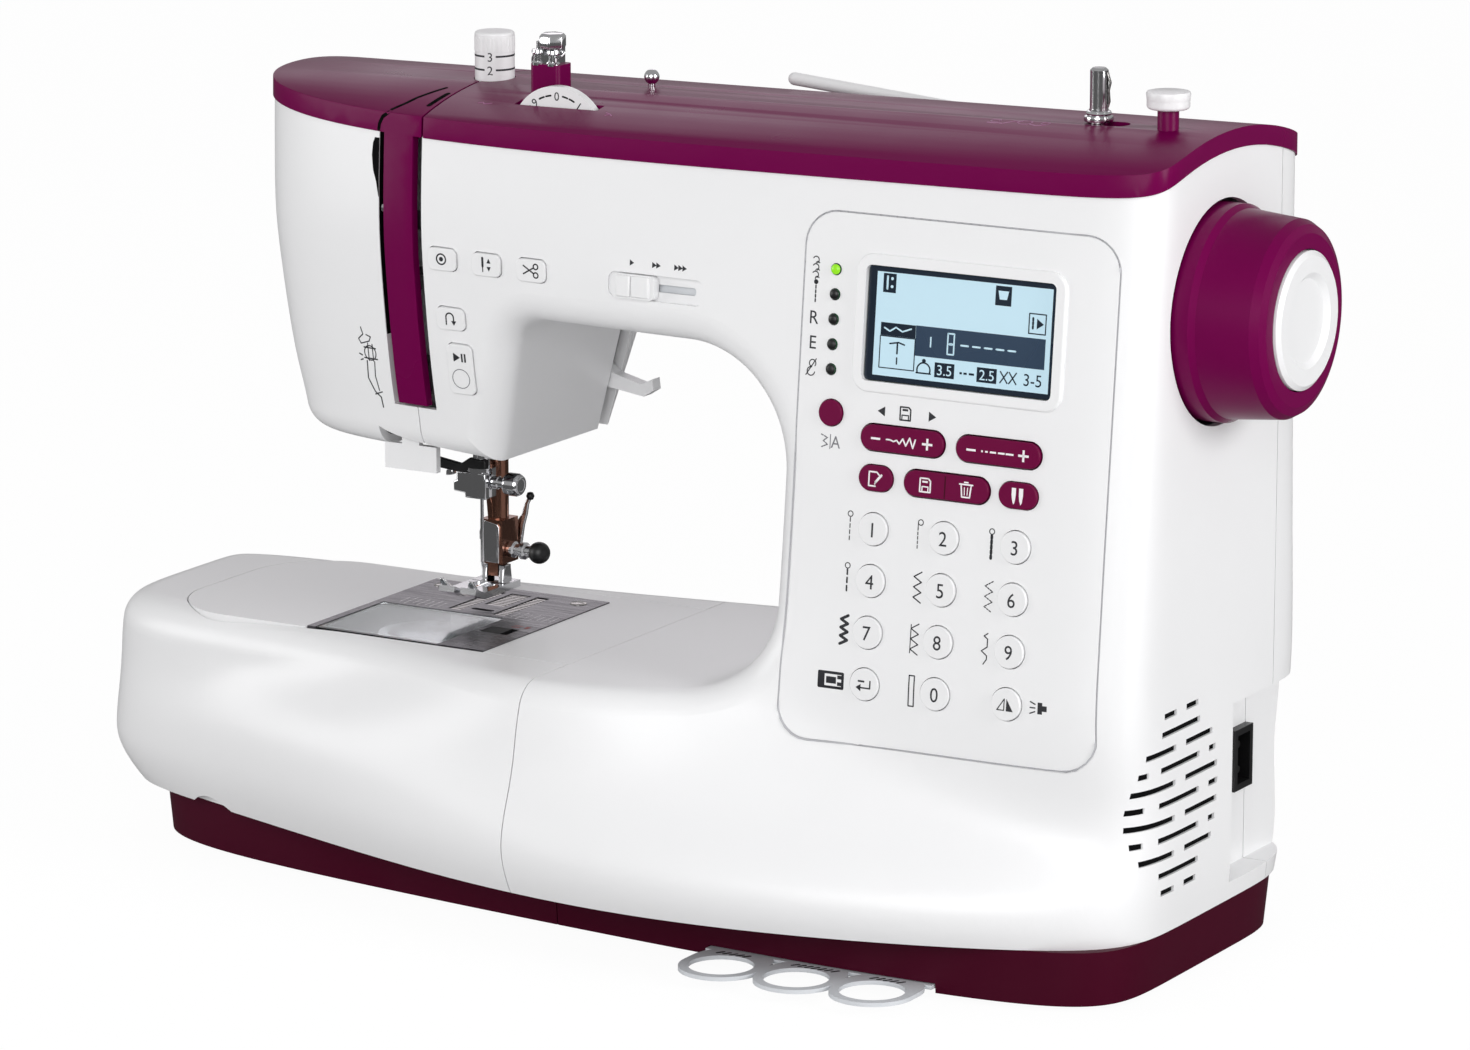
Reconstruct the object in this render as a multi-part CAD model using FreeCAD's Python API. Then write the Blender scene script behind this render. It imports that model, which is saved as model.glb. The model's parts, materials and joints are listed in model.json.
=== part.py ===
import FreeCAD, Part
import math
import os

V = FreeCAD.Vector
os.makedirs("parts", exist_ok=True)

# Computerised sewing machine with a free arm, all sizes in millimetres.
# X runs to the handwheel, -Y is the operator's side and Z is up from the table.

# Heights of the main surfaces
SHELL_BOTTOM = 20.0
WIDEST_Z = 30.0
SHOULDER_Z = 60.0
BED_TOP = 90.0
HEAD_BOTTOM = 148.0
ARM_BOTTOM = 201.0
TOP_CROWN = 276.0

# Plan sizes of the white casing
LEFT_END = -225.0
RIGHT_SIDE = 193.0
HEAD_LEFT = -166.0
COLUMN_LEFT = 60.0
HEAD_RIGHT_LOW = -64.0
HEAD_RIGHT_HIGH = -50.0
REAR_RIGHT = 95.4
REAR_LEFT = 55.0
FRONT_CORNER_Y = -44.0
FRONT_BULGE = 50.0
BODY_MID_Y = 16.0
OUTLINE_POINTS = 56
SECTIONS = 25

# Front panel plane: its Y at bed height and its lean
PANEL_FOOT_Y = -50.5
PANEL_LEAN = 5.9

# Walls, seams and running clearances
WALL = 3.0
EDGE_ROUND = 11.0
SEAM_GAP = 0.4
SLIDE_GAP = 0.3
SHAFT_GAP = 0.05
COLUMN_ROUND = 28.0
ARM_ROUND = 40.0
HEAD_ROUND = 14.0

# Seams between the covers
TABLE_SEAM_X = -17.0
FACE_SEAM_X = -93.0
REAR_SEAM_Y = 58.0
END_WALL = 3.0

# Crowned top cover
CROWN_RADIUS = 156.0
CROWN_Y = 20.0
TOP_TILT = 0.83
TOP_OVERHANG = 0.6
TOP_WALL = 2.5
TOP_BAND = 6.5
CAP_SEAM_X = -84.5

# Thread channel strip in the head front
STRIP_LEFT = -100.8
STRIP_RIGHT = -88.4
STRIP_BOTTOM = 166.0
STRIP_SLOT = 2.4
STRIP_SLOT_RIGHT = 3.6

# Base plinth
FOOT_HEIGHT = 6.0
FOOT_RADIUS = 9.0
PLINTH_BOTTOM = 1.5
PLINTH_WALL = 3.0
PLINTH_FLOOR = 2.5
DECK_THICKNESS = 2.5
DECK_GAP = 0.15
PLINTH_LEFT = -207.0
PLINTH_RIGHT = 189.5
PLINTH_FLARE = 1.5

# Free arm
ARM_LEFT = -186.0
ARM_FRONT = -47.0
ARM_BACK = 44.0
FREE_ARM_BOTTOM = 30.0
FREE_ARM_ROUND = 30.0
TABLE_GAP = 0.4
TABLE_INNER_WALL = 2.2
TABLE_RIB_LEFT = -162.0
TABLE_RIB_RIGHT = -134.0

# Needle plate, bobbin cover and latch
PLATE_LEFT = -122.5
PLATE_RIGHT = -51.0
PLATE_FRONT = -46.3
PLATE_BACK = 35.0
PLATE_THICKNESS = 2.2
PLATE_PROUD = 0.3
PLATE_LEDGE = 3.0
COVER_LEFT = -119.0
COVER_RIGHT = -70.0
COVER_BACK = -4.0
COVER_THICKNESS = 2.0
LATCH_X = -63.0
LATCH_Y = -19.5
LATCH_SIZE = 8.0
LATCH_TRAVEL = 2.5

# Needle and presser group
NEEDLE_X = -83.0
NEEDLE_Y = 3.5
PRESSER_Y = 14.0
NEEDLE_BAR_RADIUS = 3.0
PRESSER_BAR_RADIUS = 3.5
CLAMP_BOTTOM = 131.0
CLAMP_TOP = 141.0
CLAMP_RADIUS = 5.0
NEEDLE_TIP_Z = 103.5
NEEDLE_RADIUS = 0.6
SHANK_RADIUS = 1.0
SHANK_TOP = 138.0
BAR_TOP = 252.0
FOOT_SOLE_Z = 97.0
FOOT_PIVOT_Z = 103.0
FOOT_PIVOT_Y = 12.5
FOOT_WIDTH = 15.0
FOOT_PLATE = 2.4
FOOT_TOE_Y = -13.0
FOOT_HEEL_Y = 16.0
HOLDER_TOP = 121.0

# Feed dog, hook and bobbin
FEED_TOP_Z = 90.1
FEED_FRONT = 0.0
FEED_BACK = 28.0
FEED_BAR = 4.0
FEED_SPREAD = 18.0
HOOK_X = -92.0
HOOK_Y = -18.0
HOOK_RADIUS = 17.0
HOOK_TOP = 84.0
HOOK_BOTTOM = 66.0
HOOK_FLOOR = 6.0
HOOK_WALL = 3.4
HOOK_GEAR_RADIUS = 12.0
WORM_RADIUS = 9.0
BOBBIN_RADIUS = 10.2
BOBBIN_HEIGHT = 11.5

# Shafts and drive
SHAFT_Y = 15.0
SHAFT_Z = 220.0
SHAFT_RADIUS = 5.0
CRANK_OFFSET = 9.0
CRANK_RADIUS = 14.0
CRANK_THICKNESS = 4.0
CRANK_GAP = 0.8
LOWER_SHAFT_Z = 56.0
LOWER_SHAFT_RADIUS = 4.0
PULLEY_RADIUS = 18.0
PULLEY_X = 100.0
PULLEY_WIDTH = 10.0
MOTOR_Y = 50.0
MOTOR_Z = 62.0
MOTOR_RADIUS = 23.0
MOTOR_LEFT = 126.0
MOTOR_RIGHT = 170.0
MOTOR_PULLEY_RADIUS = 7.0
DRIVE_PULLEY_RADIUS = 28.0
DRIVE_PULLEY_X = 113.0
DRIVE_PULLEY_WIDTH = 7.0
BELT_THICKNESS = 1.6
BELT_GAP = 0.3

# Chassis
BEAM_LEFT = -100.0
BEAM_RIGHT = 182.0
BEAM_FRONT = -20.5
BEAM_BACK = 52.0
BEAM_THICKNESS = 5.0
BEAM_LIFT = 2.0
POST_LEFT = 66.0
POST_RIGHT = 86.0
LOWER_BEAM_LEFT = -174.0
LOWER_BEAM_FRONT = -34.0
LOWER_BEAM_BACK = 32.0
LOWER_BEAM_THICKNESS = 7.0
BUSH_Z = 168.0
BUSH_HEIGHT = 10.0

# Handwheel
WHEEL_RADIUS = 35.5
WHEEL_FACE_RADIUS = 32.0
WHEEL_INNER_X = 187.0
WHEEL_OUTER_X = 222.0
WHEEL_CAP_RADIUS = 22.6
WHEEL_CAP_DEPTH = 6.0
WHEEL_CAP_PROUD = 2.0
WHEEL_HOLE_GAP = 1.6

# Control panel
PANEL_LEFT = 67.0
PANEL_RIGHT = 181.0
PANEL_LOW = 77.5
PANEL_HIGH = 251.0
PANEL_CORNER = 12.0
GROOVE_WIDTH = 0.6
GROOVE_DEPTH = 0.5
LCD_X = 125.2
LCD_Z = 215.5
LCD_WIDTH = 68.5
LCD_HEIGHT = 37.0
LCD_SINK = 0.8
LCD_RIM = 4.0
LCD_RIM_HEIGHT = 1.0
LED_X = 79.0
LED_TOP_Z = 231.4
LED_PITCH = 8.1
LED_COUNT = 5
LED_RADIUS = 1.7
BOARD_DEPTH = 7.0
BOARD_THICKNESS = 1.6

# Buttons
BUTTON_GAP = 0.3
ROCKER_GAP = 0.5
BUTTON_PROUD = 1.0
BUTTON_FLANGE = 1.0
BUTTON_FLANGE_DEPTH = 3.5
ROCKER_FLANGE_DEPTH = 4.4
ROCKER_AXIS_DEPTH = 4.0
ROCKER_PIN_RADIUS = 0.8
BUTTON_FLANGE_THICKNESS = 1.0
KEY_DIAMETER = 10.6
KEY_LEFT_X = 98.0
KEY_PITCH_X = 26.0
KEY_TOP_Z = 149.0
KEY_PITCH_Z = 16.87
MODE_X = 80.0
MODE_Z = 185.0
MODE_DIAMETER = 8.6
PILL_HEIGHT = 8.4
ROCKER_LENGTH = 30.5
ROCKER_Z = 178.7
WIDTH_ROCKER_X = 107.0
LENGTH_ROCKER_X = 142.0
ROW_Z = 165.6
EDIT_X = 98.0
EDIT_LENGTH = 12.4
MEMORY_X = 124.0
MEMORY_LENGTH = 31.0
TWIN_X = 150.0
TWIN_LENGTH = 13.9
HEAD_BUTTON_WIDTH = 11.5
HEAD_BUTTON_HEIGHT = 7.7
HEAD_BUTTON_ROUND = 2.2
HEAD_ROW_Z = 219.5
LOCK_X = -76.0
NEEDLE_BUTTON_X = -57.5
CUTTER_X = -39.0
REVERSE_X = -74.0
REVERSE_Z = 199.0
START_X = -71.5
START_Z = 181.5
START_WIDTH = 10.3
START_HEIGHT = 17.7
HEAD_BUTTON_PROUD = 1.3

# Speed slider
SLIDER_LEFT = -8.0
SLIDER_RIGHT = 29.4
SLIDER_Z = 218.5
SLIDER_HEIGHT = 8.7
SLIDER_DEPTH = 1.8
SLIDER_KNOB_X = 3.0
SLIDER_KNOB_WIDTH = 16.5
SLIDER_STEM = 2.0
SLIDER_PROUD = 1.6
SLIDER_KEEPER = 1.4
SLIDER_KEEPER_GAP = 1.4

# Right side: vent and mains recess
VENT_Y = -10.0
VENT_Z = 64.0
VENT_HALF_WIDTH = 27.0
VENT_HALF_HEIGHT = 33.0
VENT_DEPTH = 15.0
VENT_PITCH = 5.9
VENT_SLOT = 2.0
VENT_LENGTH = 27.0
VENT_SPACE = 7.0
VENT_SHORTEST = 2.0
RECESS_FRONT = 28.0
RECESS_LOW = 26.0
RECESS_HIGH = 87.0
RECESS_FLOOR_X = 183.0
INLET_Y = 51.2
INLET_Z = 62.5
INLET_WIDTH = 13.5
INLET_HEIGHT = 21.0
INLET_PROUD = 3.0
INLET_PIN_PITCH = 8.6
INLET_PIN_RADIUS = 1.2

# Fittings on the top
PRESSURE_RADIUS = 6.8
PRESSURE_HEIGHT = 16.0
TENSION_X = -41.0
TENSION_Y = -12.0
TENSION_RADIUS = 18.0
TENSION_THICKNESS = 3.4
TENSION_SHOWN = 6.5
GUIDE_X = -53.0
GUIDE_Y = 2.0
GUIDE_POST_TOP = 283.5
GUIDE_HEIGHT = 7.5
HOOK_GUIDE_X = -23.0
HOOK_GUIDE_Y = 18.0
SPINDLE_X = 148.0
SPINDLE_Y = 14.0
SPINDLE_RADIUS = 3.0
SPINDLE_HEIGHT = 18.0
SPINDLE_TRAVEL = 7.5
STOP_X = 174.0
STOP_Y = 12.0
STOP_STEM_RADIUS = 3.5
STOP_STEM_HEIGHT = 6.6
STOP_RADIUS = 7.0
STOP_HEIGHT = 5.5
PIN_ROOT_X = 74.0
PIN_TIP_X = 13.0
PIN_Y = 52.0
PIN_RADIUS = 2.2
PIN_ROOT_Z = 271.6
PIN_TIP_Z = 276.6
PIN_RECESS_LEFT = 6.0
PIN_RECESS_RIGHT = 70.0
PIN_RECESS_HALF = 8.0
PIN_RECESS_Z = 267.6

# Levers
LEVER_PIVOT_X = -72.0
LEVER_PIVOT_Z = 176.0
LEVER_Y = 52.5
LEVER_WIDTH = 5.0
LEVER_TIP_X = -42.0
LEVER_TIP_Z = 163.0
LEVER_PIN_RADIUS = 3.0
TAKE_UP_Y = 20.0
TAKE_UP_Z = 217.0
TAKE_UP_TIP_Y = -25.0
TAKE_UP_TIP_Z = 234.0
TAKE_UP_THICKNESS = 1.2
TAB_LEFT = -111.0
TAB_RIGHT = -90.0
TAB_BOTTOM = 141.0
TAB_TOP = 150.0
TAB_Y = -13.0
TAB_THICKNESS = 2.5

# Pull-out pattern card
CARD_LEFT = 45.0
CARD_RIGHT = 130.0
CARD_Z = 3.0
CARD_THICKNESS = 1.4
CARD_ROOT_Y = -62.0
CARD_BACK_Y = 12.0
CARD_TIP_Y = -90.0
CARD_RINGS = 3
CARD_RIM = 3.2
CARD_GAP = 0.4


def box(x0, x1, y0, y1, z0, z1):
    """Block between two corners."""
    return Part.makeBox(x1 - x0, y1 - y0, z1 - z0, V(x0, y0, z0))


def rod(radius, start, end):
    """Cylinder between two points."""
    axis = end - start
    return Part.makeCylinder(radius, axis.Length, start, axis)


def fused(shapes):
    """One clean solid from overlapping shapes."""
    return shapes[0].multiFuse(shapes[1:]).removeSplitter()


def rounded_face(width, height, radius):
    """Rounded rectangle centred on the origin of the XY plane."""
    a = width / 2
    b = height / 2
    r = min(radius, a - 0.01, b - 0.01)
    d = r * (1 - math.sqrt(0.5))
    edges = [
        Part.LineSegment(V(-a + r, -b, 0), V(a - r, -b, 0)),
        Part.Arc(V(a - r, -b, 0), V(a - d, -b + d, 0), V(a, -b + r, 0)),
        Part.LineSegment(V(a, -b + r, 0), V(a, b - r, 0)),
        Part.Arc(V(a, b - r, 0), V(a - d, b - d, 0), V(a - r, b, 0)),
        Part.LineSegment(V(a - r, b, 0), V(-a + r, b, 0)),
        Part.Arc(V(-a + r, b, 0), V(-a + d, b - d, 0), V(-a, b - r, 0)),
        Part.LineSegment(V(-a, b - r, 0), V(-a, -b + r, 0)),
        Part.Arc(V(-a, -b + r, 0), V(-a + d, -b + d, 0), V(-a + r, -b, 0)),
    ]
    return Part.Face(Part.Wire([e.toShape() for e in edges]))


def plate(width, height, radius, z0, z1):
    """Rounded rectangular plate about the local Z axis."""
    face = rounded_face(width, height, radius)
    face.translate(V(0, 0, z0))
    return face.extrude(V(0, 0, z1 - z0))


def turned(profile, start, axis):
    """Solid of revolution from (along, radius) points about an axis through start."""
    points = [V(a, r, 0) for a, r in profile]
    face = Part.Face(Part.makePolygon(points + [points[0]]))
    solid = face.revolve(V(0, 0, 0), V(1, 0, 0), 360)
    solid.Placement = FreeCAD.Placement(start, FreeCAD.Rotation(V(1, 0, 0), axis))
    return solid


def ease(u):
    """Smooth step from 0 to 1."""
    u = max(0.0, min(1.0, u))
    return u * u * (3 - 2 * u)


def panel_y(z):
    """Y of the leaning front plane at a height."""
    return PANEL_FOOT_Y + (z - BED_TOP) * math.tan(math.radians(PANEL_LEAN))


def body_rows():
    """Casing sections from the bottom up.

    Each row holds the height, left and right ends, Y of the panel and of the head, the front bulge with its
    middle and half width, Y of the left and right rear, and how square the left and right ends are.
    """
    mid_arm = (ARM_BOTTOM + HEAD_BOTTOM) / 2
    upper = ARM_BOTTOM + 29
    lift = TOP_CROWN + 9
    left = HEAD_LEFT
    right = RIGHT_SIDE
    bed_y = panel_y(BED_TOP)
    gap_z = (BED_TOP + HEAD_BOTTOM) / 2
    low = FRONT_CORNER_Y
    near = REAR_LEFT
    far = REAR_RIGHT
    return [
        (
            SHELL_BOTTOM, LEFT_END + 9, right - 1, low + 5,
            low + 5, FRONT_BULGE - 1, 25, 260, near - 5, far - 4, 5.5, 7,
        ),
        (WIDEST_Z, LEFT_END, right, low, low, FRONT_BULGE, 25, 260, near, far, 5.5, 7),
        (SHOULDER_Z, LEFT_END + 5, right, bed_y + 1.5, bed_y + 1.5, 35, -25, 190, near - 1, far - 3, 5.5, 7),
        (BED_TOP, LEFT_END + 12, right, bed_y, bed_y - 5.5, 26, -10, 85, near - 3, far - 6, 5.5, 12),
        (gap_z, left - 17, right, panel_y(gap_z), -42, 8, -10, 85, near + 3, far - 9, 4.2, 14),
        (HEAD_BOTTOM, left + 11, right, panel_y(HEAD_BOTTOM), -22, 0, -10, 85, near + 9, far - 11, 3.2, 14),
        (mid_arm, left + 6, right, panel_y(mid_arm), -27, 0, -10, 85, near + 13, far - 12, 3.2, 14),
        (ARM_BOTTOM, left + 2.5, right, panel_y(ARM_BOTTOM), -31, 0, -10, 85, near + 17, far - 13, 3.2, 14),
        (upper, left, right, panel_y(upper), -33.5, 0, -10, 85, near + 20, far - 14, 3.2, 14),
        (lift, left, right, panel_y(lift), panel_y(lift), 0, -10, 85, near + 21, far - 15, 3.2, 14),
    ]


def ring_angles():
    """Angles round a closed outline, closer together at its four corners."""
    steps = [2 * math.pi * i / OUTLINE_POINTS for i in range(OUTLINE_POINTS)]
    return [turn + 0.12 * math.sin(4 * turn) for turn in steps]


def ring_reach(turn, square_l, square_r):
    """Share of the half length and half depth that a rounded outline reaches at an angle."""
    c = math.cos(turn)
    s = math.sin(turn)
    power = square_r if c >= 0 else square_l
    scale = (abs(c) ** power + abs(s) ** power) ** (-1 / power)
    return scale * c, scale * s


def closed_curve(points):
    """Smooth closed wire drawn in by a ring of control points."""
    count = len(points)
    curve = Part.BSplineCurve()
    curve.buildFromPolesMultsKnots(points, [1] * (count + 1), list(range(count + 1)), True, 3)
    return Part.Wire([curve.toShape()])


def body_ring(row, inset):
    """Control points of one casing section, drawn in by inset."""
    z, left, right, panel, head, bulge, bulge_x, bulge_w, rear_l, rear_r, square_l, square_r = row
    mid = (left + right) / 2 + 20
    points = []
    for turn in ring_angles():
        across, along = ring_reach(turn, square_l, square_r)
        reach = right - inset - mid if across >= 0 else mid - left - inset
        x = mid + reach * across
        if along < 0:
            u = max(-1.0, min(1.0, (x - bulge_x) / bulge_w))
            y = head + (panel - head) * ease((x + 70) / 110) + inset
            y -= bulge * 0.5 * (1 + math.cos(math.pi * u))
        else:
            y = rear_l + (rear_r - rear_l) * ease((x + 150) / 320) - inset
        points.append(V(x, BODY_MID_Y + (y - BODY_MID_Y) * abs(along), z))
    return points


def blended_row(rows, z):
    """Casing section at any height, eased between the stated ones without overshoot."""
    heights = [row[0] for row in rows]
    steps = [b - a for a, b in zip(heights, heights[1:])]
    k = max(i for i in range(len(steps)) if heights[i] <= z + 1e-6)
    t = (z - heights[k]) / steps[k]
    values = [z]
    for column in range(1, len(rows[0])):
        v = [row[column] for row in rows]
        rates = [(b - a) / h for a, b, h in zip(v, v[1:], steps)]
        ends = []
        for i in (k, k + 1):
            if i == 0 or i == len(rates):
                rate = rates[min(i, len(rates) - 1)]
            elif rates[i - 1] * rates[i] <= 0:
                rate = 0.0
            else:
                near = 2 * steps[i] + steps[i - 1]
                far = steps[i] + 2 * steps[i - 1]
                rate = (near + far) / (near / rates[i - 1] + far / rates[i])
            ends.append(rate * steps[k])
        value = v[k] * (2 * t ** 3 - 3 * t ** 2 + 1) + v[k + 1] * (3 * t ** 2 - 2 * t ** 3)
        value += ends[0] * (t ** 3 - 2 * t ** 2 + t) + ends[1] * (t ** 3 - t ** 2)
        values.append(value)
    return values


def body_loft(inset):
    """Full casing form without the throat opening, as one smooth skin with flat ends."""
    rows = body_rows()
    low = rows[0][0]
    step = (rows[-1][0] - low) / (SECTIONS - 1)
    rings = [body_ring(blended_row(rows, low + step * i), inset) for i in range(SECTIONS)]
    columns = [list(column) for column in zip(*rings)]
    round_mults = [1] * (OUTLINE_POINTS + 1)
    up_mults = [4] + [1] * (SECTIONS - 4) + [4]
    skin = Part.BSplineSurface()
    skin.buildFromPolesMultsKnots(
        columns, round_mults, up_mults,
        list(range(len(round_mults))), list(range(len(up_mults))), True, False, 3, 3,
    )
    side = skin.toShape()
    ends = [Part.Face(Part.Wire([e])) for e in side.Edges if e.BoundBox.ZLength < 0.01]
    shell = Part.Shell([side] + ends)
    shell.sewShape()
    return Part.Solid(shell)


def throat(grow):
    """Opening between head, arm, column and bed, widened by grow."""
    col = COLUMN_LEFT + grow
    bed = BED_TOP - grow
    arm = ARM_BOTTOM + grow
    low = HEAD_BOTTOM + grow
    r_col = COLUMN_ROUND + grow
    r_arm = ARM_ROUND + grow
    r_head = HEAD_ROUND + grow
    top = V(HEAD_RIGHT_HIGH - grow, 0, arm)
    foot = V(HEAD_RIGHT_LOW - grow, 0, low)
    wall = (top - foot).normalize()
    run = r_head * math.tan(math.atan2(wall.z, wall.x) / 2)
    join = top - wall * run
    end = V(top.x + run, 0, arm)
    centre = V(end.x, 0, arm - r_head)
    middle = centre + (top - centre).normalize() * r_head
    h = math.sqrt(0.5)
    far = LEFT_END - 80
    edges = [
        Part.LineSegment(V(far, 0, bed), V(col - r_col, 0, bed)),
        Part.Arc(
            V(col - r_col, 0, bed), V(col - r_col * (1 - h), 0, bed + r_col * (1 - h)),
            V(col, 0, bed + r_col),
        ),
        Part.LineSegment(V(col, 0, bed + r_col), V(col, 0, arm - r_arm)),
        Part.Arc(
            V(col, 0, arm - r_arm), V(col - r_arm * (1 - h), 0, arm - r_arm * (1 - h)),
            V(col - r_arm, 0, arm),
        ),
        Part.LineSegment(V(col - r_arm, 0, arm), end),
        Part.Arc(end, middle, join),
        Part.LineSegment(join, foot),
        Part.LineSegment(foot, V(far, 0, low)),
        Part.LineSegment(V(far, 0, low), V(far, 0, bed)),
    ]
    face = Part.Face(Part.Wire([e.toShape() for e in edges]))
    face.translate(V(0, -160, 0))
    return face.extrude(V(0, 320, 0))


def casing(inset, grow, rounding):
    """Casing form with the throat cut and its rims rounded."""
    form = body_loft(inset).cut(throat(grow))
    rims = []
    for edge in form.Edges:
        ends = edge.BoundBox
        inside = ends.ZMin > BED_TOP - grow - 0.5 and ends.ZMax < ARM_BOTTOM + grow + 0.5
        if inside and not edge.Curve.TypeId.endswith("Line"):
            rims.append(edge)
    return form.makeFillet(rounding, rims)


def tilted(shape):
    """Turns a shape about Y so that the top rises towards the handwheel."""
    shape.rotate(V(0, 0, TOP_CROWN), V(0, 1, 0), -TOP_TILT)
    return shape


def above_seam(drop):
    """Everything over a crowned surface that lies drop below the top."""
    return tilted(box(-400, 400, -200, 200, ARM_BOTTOM + 20, TOP_CROWN + 100)).cut(crown(drop))


def crown(drop):
    """Round bar whose upper side is the crown of the top, lowered by drop."""
    centre = TOP_CROWN - CROWN_RADIUS
    bar = Part.makeCylinder(CROWN_RADIUS - drop, 800, V(-400, CROWN_Y, centre), V(1, 0, 0))
    bar.rotate(V(0, CROWN_Y, centre), V(1, 0, 0), 180)
    return tilted(bar)


def crown_z(x, y):
    """Height of the crown at a point of the plan."""
    rise = math.sqrt(CROWN_RADIUS ** 2 - (y - CROWN_Y) ** 2) - CROWN_RADIUS
    return TOP_CROWN + rise + x * math.tan(math.radians(TOP_TILT))


def recess(grow):
    """Mains recess in the right rear corner, widened by grow."""
    return box(RECESS_FLOOR_X - grow, 260, RECESS_FRONT - grow, 200, RECESS_LOW - grow, RECESS_HIGH + grow)


def free_arm_form(grow, low, high):
    """Free arm block, widened by grow, with a rounded left end."""
    right = TABLE_SEAM_X
    left = ARM_LEFT - grow
    front = ARM_FRONT - grow
    back = ARM_BACK + grow
    block = box(left, right, front, back, low, high)
    corners = []
    for edge in block.Edges:
        b = edge.BoundBox
        if b.ZLength > 1 and b.XMax < left + 0.1:
            corners.append(edge)
    return block.makeFillet(FREE_ARM_ROUND + grow, corners)


def on_panel(shape, x, z):
    """Places a local shape on the leaning front panel."""
    spin = FreeCAD.Rotation(V(1, 0, 0), 90 - PANEL_LEAN)
    placed = shape.copy()
    placed.Placement = FreeCAD.Placement(V(x, panel_y(z), z), spin)
    return placed


def front_y(form, x, z):
    """Y of the casing front at a point of the elevation."""
    line = Part.makeLine(V(x, -200, z), V(x, BODY_MID_Y, z))
    return form.common(line).BoundBox.YMin


def on_head(form, shape, x, z, span):
    """Places a local shape on the curved head front, square to it over span."""
    high = front_y(form, x, z + span / 2)
    low = front_y(form, x, z - span / 2)
    lean = math.degrees(math.atan2(high - low, span))
    spin = FreeCAD.Rotation(V(1, 0, 0), 90 - lean)
    placed = shape.copy()
    placed.Placement = FreeCAD.Placement(V(x, (high + low) / 2, z), spin)
    return placed


def key_spots():
    """Names and places of the twelve round keys."""
    names = ["1", "2", "3", "4", "5", "6", "7", "8", "9", "enter", "0", "mirror"]
    spots = []
    for i, name in enumerate(names):
        x = KEY_LEFT_X + KEY_PITCH_X * (i % 3)
        z = KEY_TOP_Z - KEY_PITCH_Z * (i // 3)
        spots.append(("key_" + name, x, z))
    return spots


def panel_buttons():
    """Name, place, width, height, corner and whether it rocks, for every button of the panel."""
    rows = [(name, x, z, KEY_DIAMETER, KEY_DIAMETER, KEY_DIAMETER / 2, False) for name, x, z in key_spots()]
    half = PILL_HEIGHT / 2
    rows.append(("mode_button", MODE_X, MODE_Z, MODE_DIAMETER, MODE_DIAMETER, MODE_DIAMETER / 2, False))
    rows.append(("width_rocker", WIDTH_ROCKER_X, ROCKER_Z, ROCKER_LENGTH, PILL_HEIGHT, half, True))
    rows.append(("length_rocker", LENGTH_ROCKER_X, ROCKER_Z, ROCKER_LENGTH, PILL_HEIGHT, half, True))
    rows.append(("edit_button", EDIT_X, ROW_Z, EDIT_LENGTH, PILL_HEIGHT, half, False))
    rows.append(("memory_rocker", MEMORY_X, ROW_Z, MEMORY_LENGTH, PILL_HEIGHT, half, True))
    rows.append(("twin_button", TWIN_X, ROW_Z, TWIN_LENGTH, PILL_HEIGHT, half, False))
    return rows


def head_buttons():
    """Name, place and size of the five buttons of the head."""
    return [
        ("lock_button", LOCK_X, HEAD_ROW_Z, HEAD_BUTTON_WIDTH, HEAD_BUTTON_HEIGHT),
        ("needle_position_button", NEEDLE_BUTTON_X, HEAD_ROW_Z, HEAD_BUTTON_WIDTH, HEAD_BUTTON_HEIGHT),
        ("cutter_button", CUTTER_X, HEAD_ROW_Z, HEAD_BUTTON_WIDTH, HEAD_BUTTON_HEIGHT),
        ("reverse_button", REVERSE_X, REVERSE_Z, HEAD_BUTTON_WIDTH, HEAD_BUTTON_HEIGHT),
        ("start_stop_button", START_X, START_Z, START_WIDTH, START_HEIGHT),
    ]


def button(width, height, corner, proud, flange_depth):
    """Cap that stands through the cover, with a flange behind it."""
    flange_low = -flange_depth - BUTTON_FLANGE_THICKNESS
    cap = plate(width, height, corner, flange_low, proud)
    rim = [e for e in cap.Edges if e.BoundBox.ZMin > proud - 0.01]
    cap = cap.makeFillet(0.4, rim)
    wide = width + 2 * BUTTON_FLANGE
    tall = height + 2 * BUTTON_FLANGE
    flange = plate(wide, tall, corner + BUTTON_FLANGE, flange_low, -flange_depth)
    return fused([cap, flange])


def vent_slots():
    """Staggered rows of slots within an ellipse on the right side."""
    slots = []
    rows = int(VENT_HALF_HEIGHT / VENT_PITCH)
    step = VENT_LENGTH + VENT_SPACE
    for k in range(-rows, rows + 1):
        z = VENT_Z + k * VENT_PITCH
        reach = VENT_HALF_WIDTH * math.sqrt(max(0.0, 1 - (k * VENT_PITCH / VENT_HALF_HEIGHT) ** 2))
        shift = 0.0 if k % 2 == 0 else step / 2
        for j in range(-4, 5):
            y0 = max(j * step + shift - VENT_LENGTH / 2, -reach)
            y1 = min(j * step + shift + VENT_LENGTH / 2, reach)
            if y1 - y0 > VENT_SHORTEST:
                half = VENT_SLOT / 2
                inner = RIGHT_SIDE - VENT_DEPTH
                slots.append(box(inner, RIGHT_SIDE + 12, VENT_Y + y0, VENT_Y + y1, z - half, z + half))
    return Part.Compound(slots)


def strip_zone(gap_left, gap_right, gap_low):
    """Column of space that the thread strip takes in the head front."""
    return box(
        STRIP_LEFT - gap_left, STRIP_RIGHT + gap_right, -90, -10, STRIP_BOTTOM - gap_low, TOP_CROWN + 20,
    )


def head_opening():
    """Opening in the underside of the head for the needle and presser group."""
    low = HEAD_BOTTOM - 6
    return box(TAB_LEFT - 1, HEAD_RIGHT_LOW - 5, TAB_Y - 3.5, PRESSER_Y + 16, low, HEAD_BOTTOM + WALL + 5)


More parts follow.
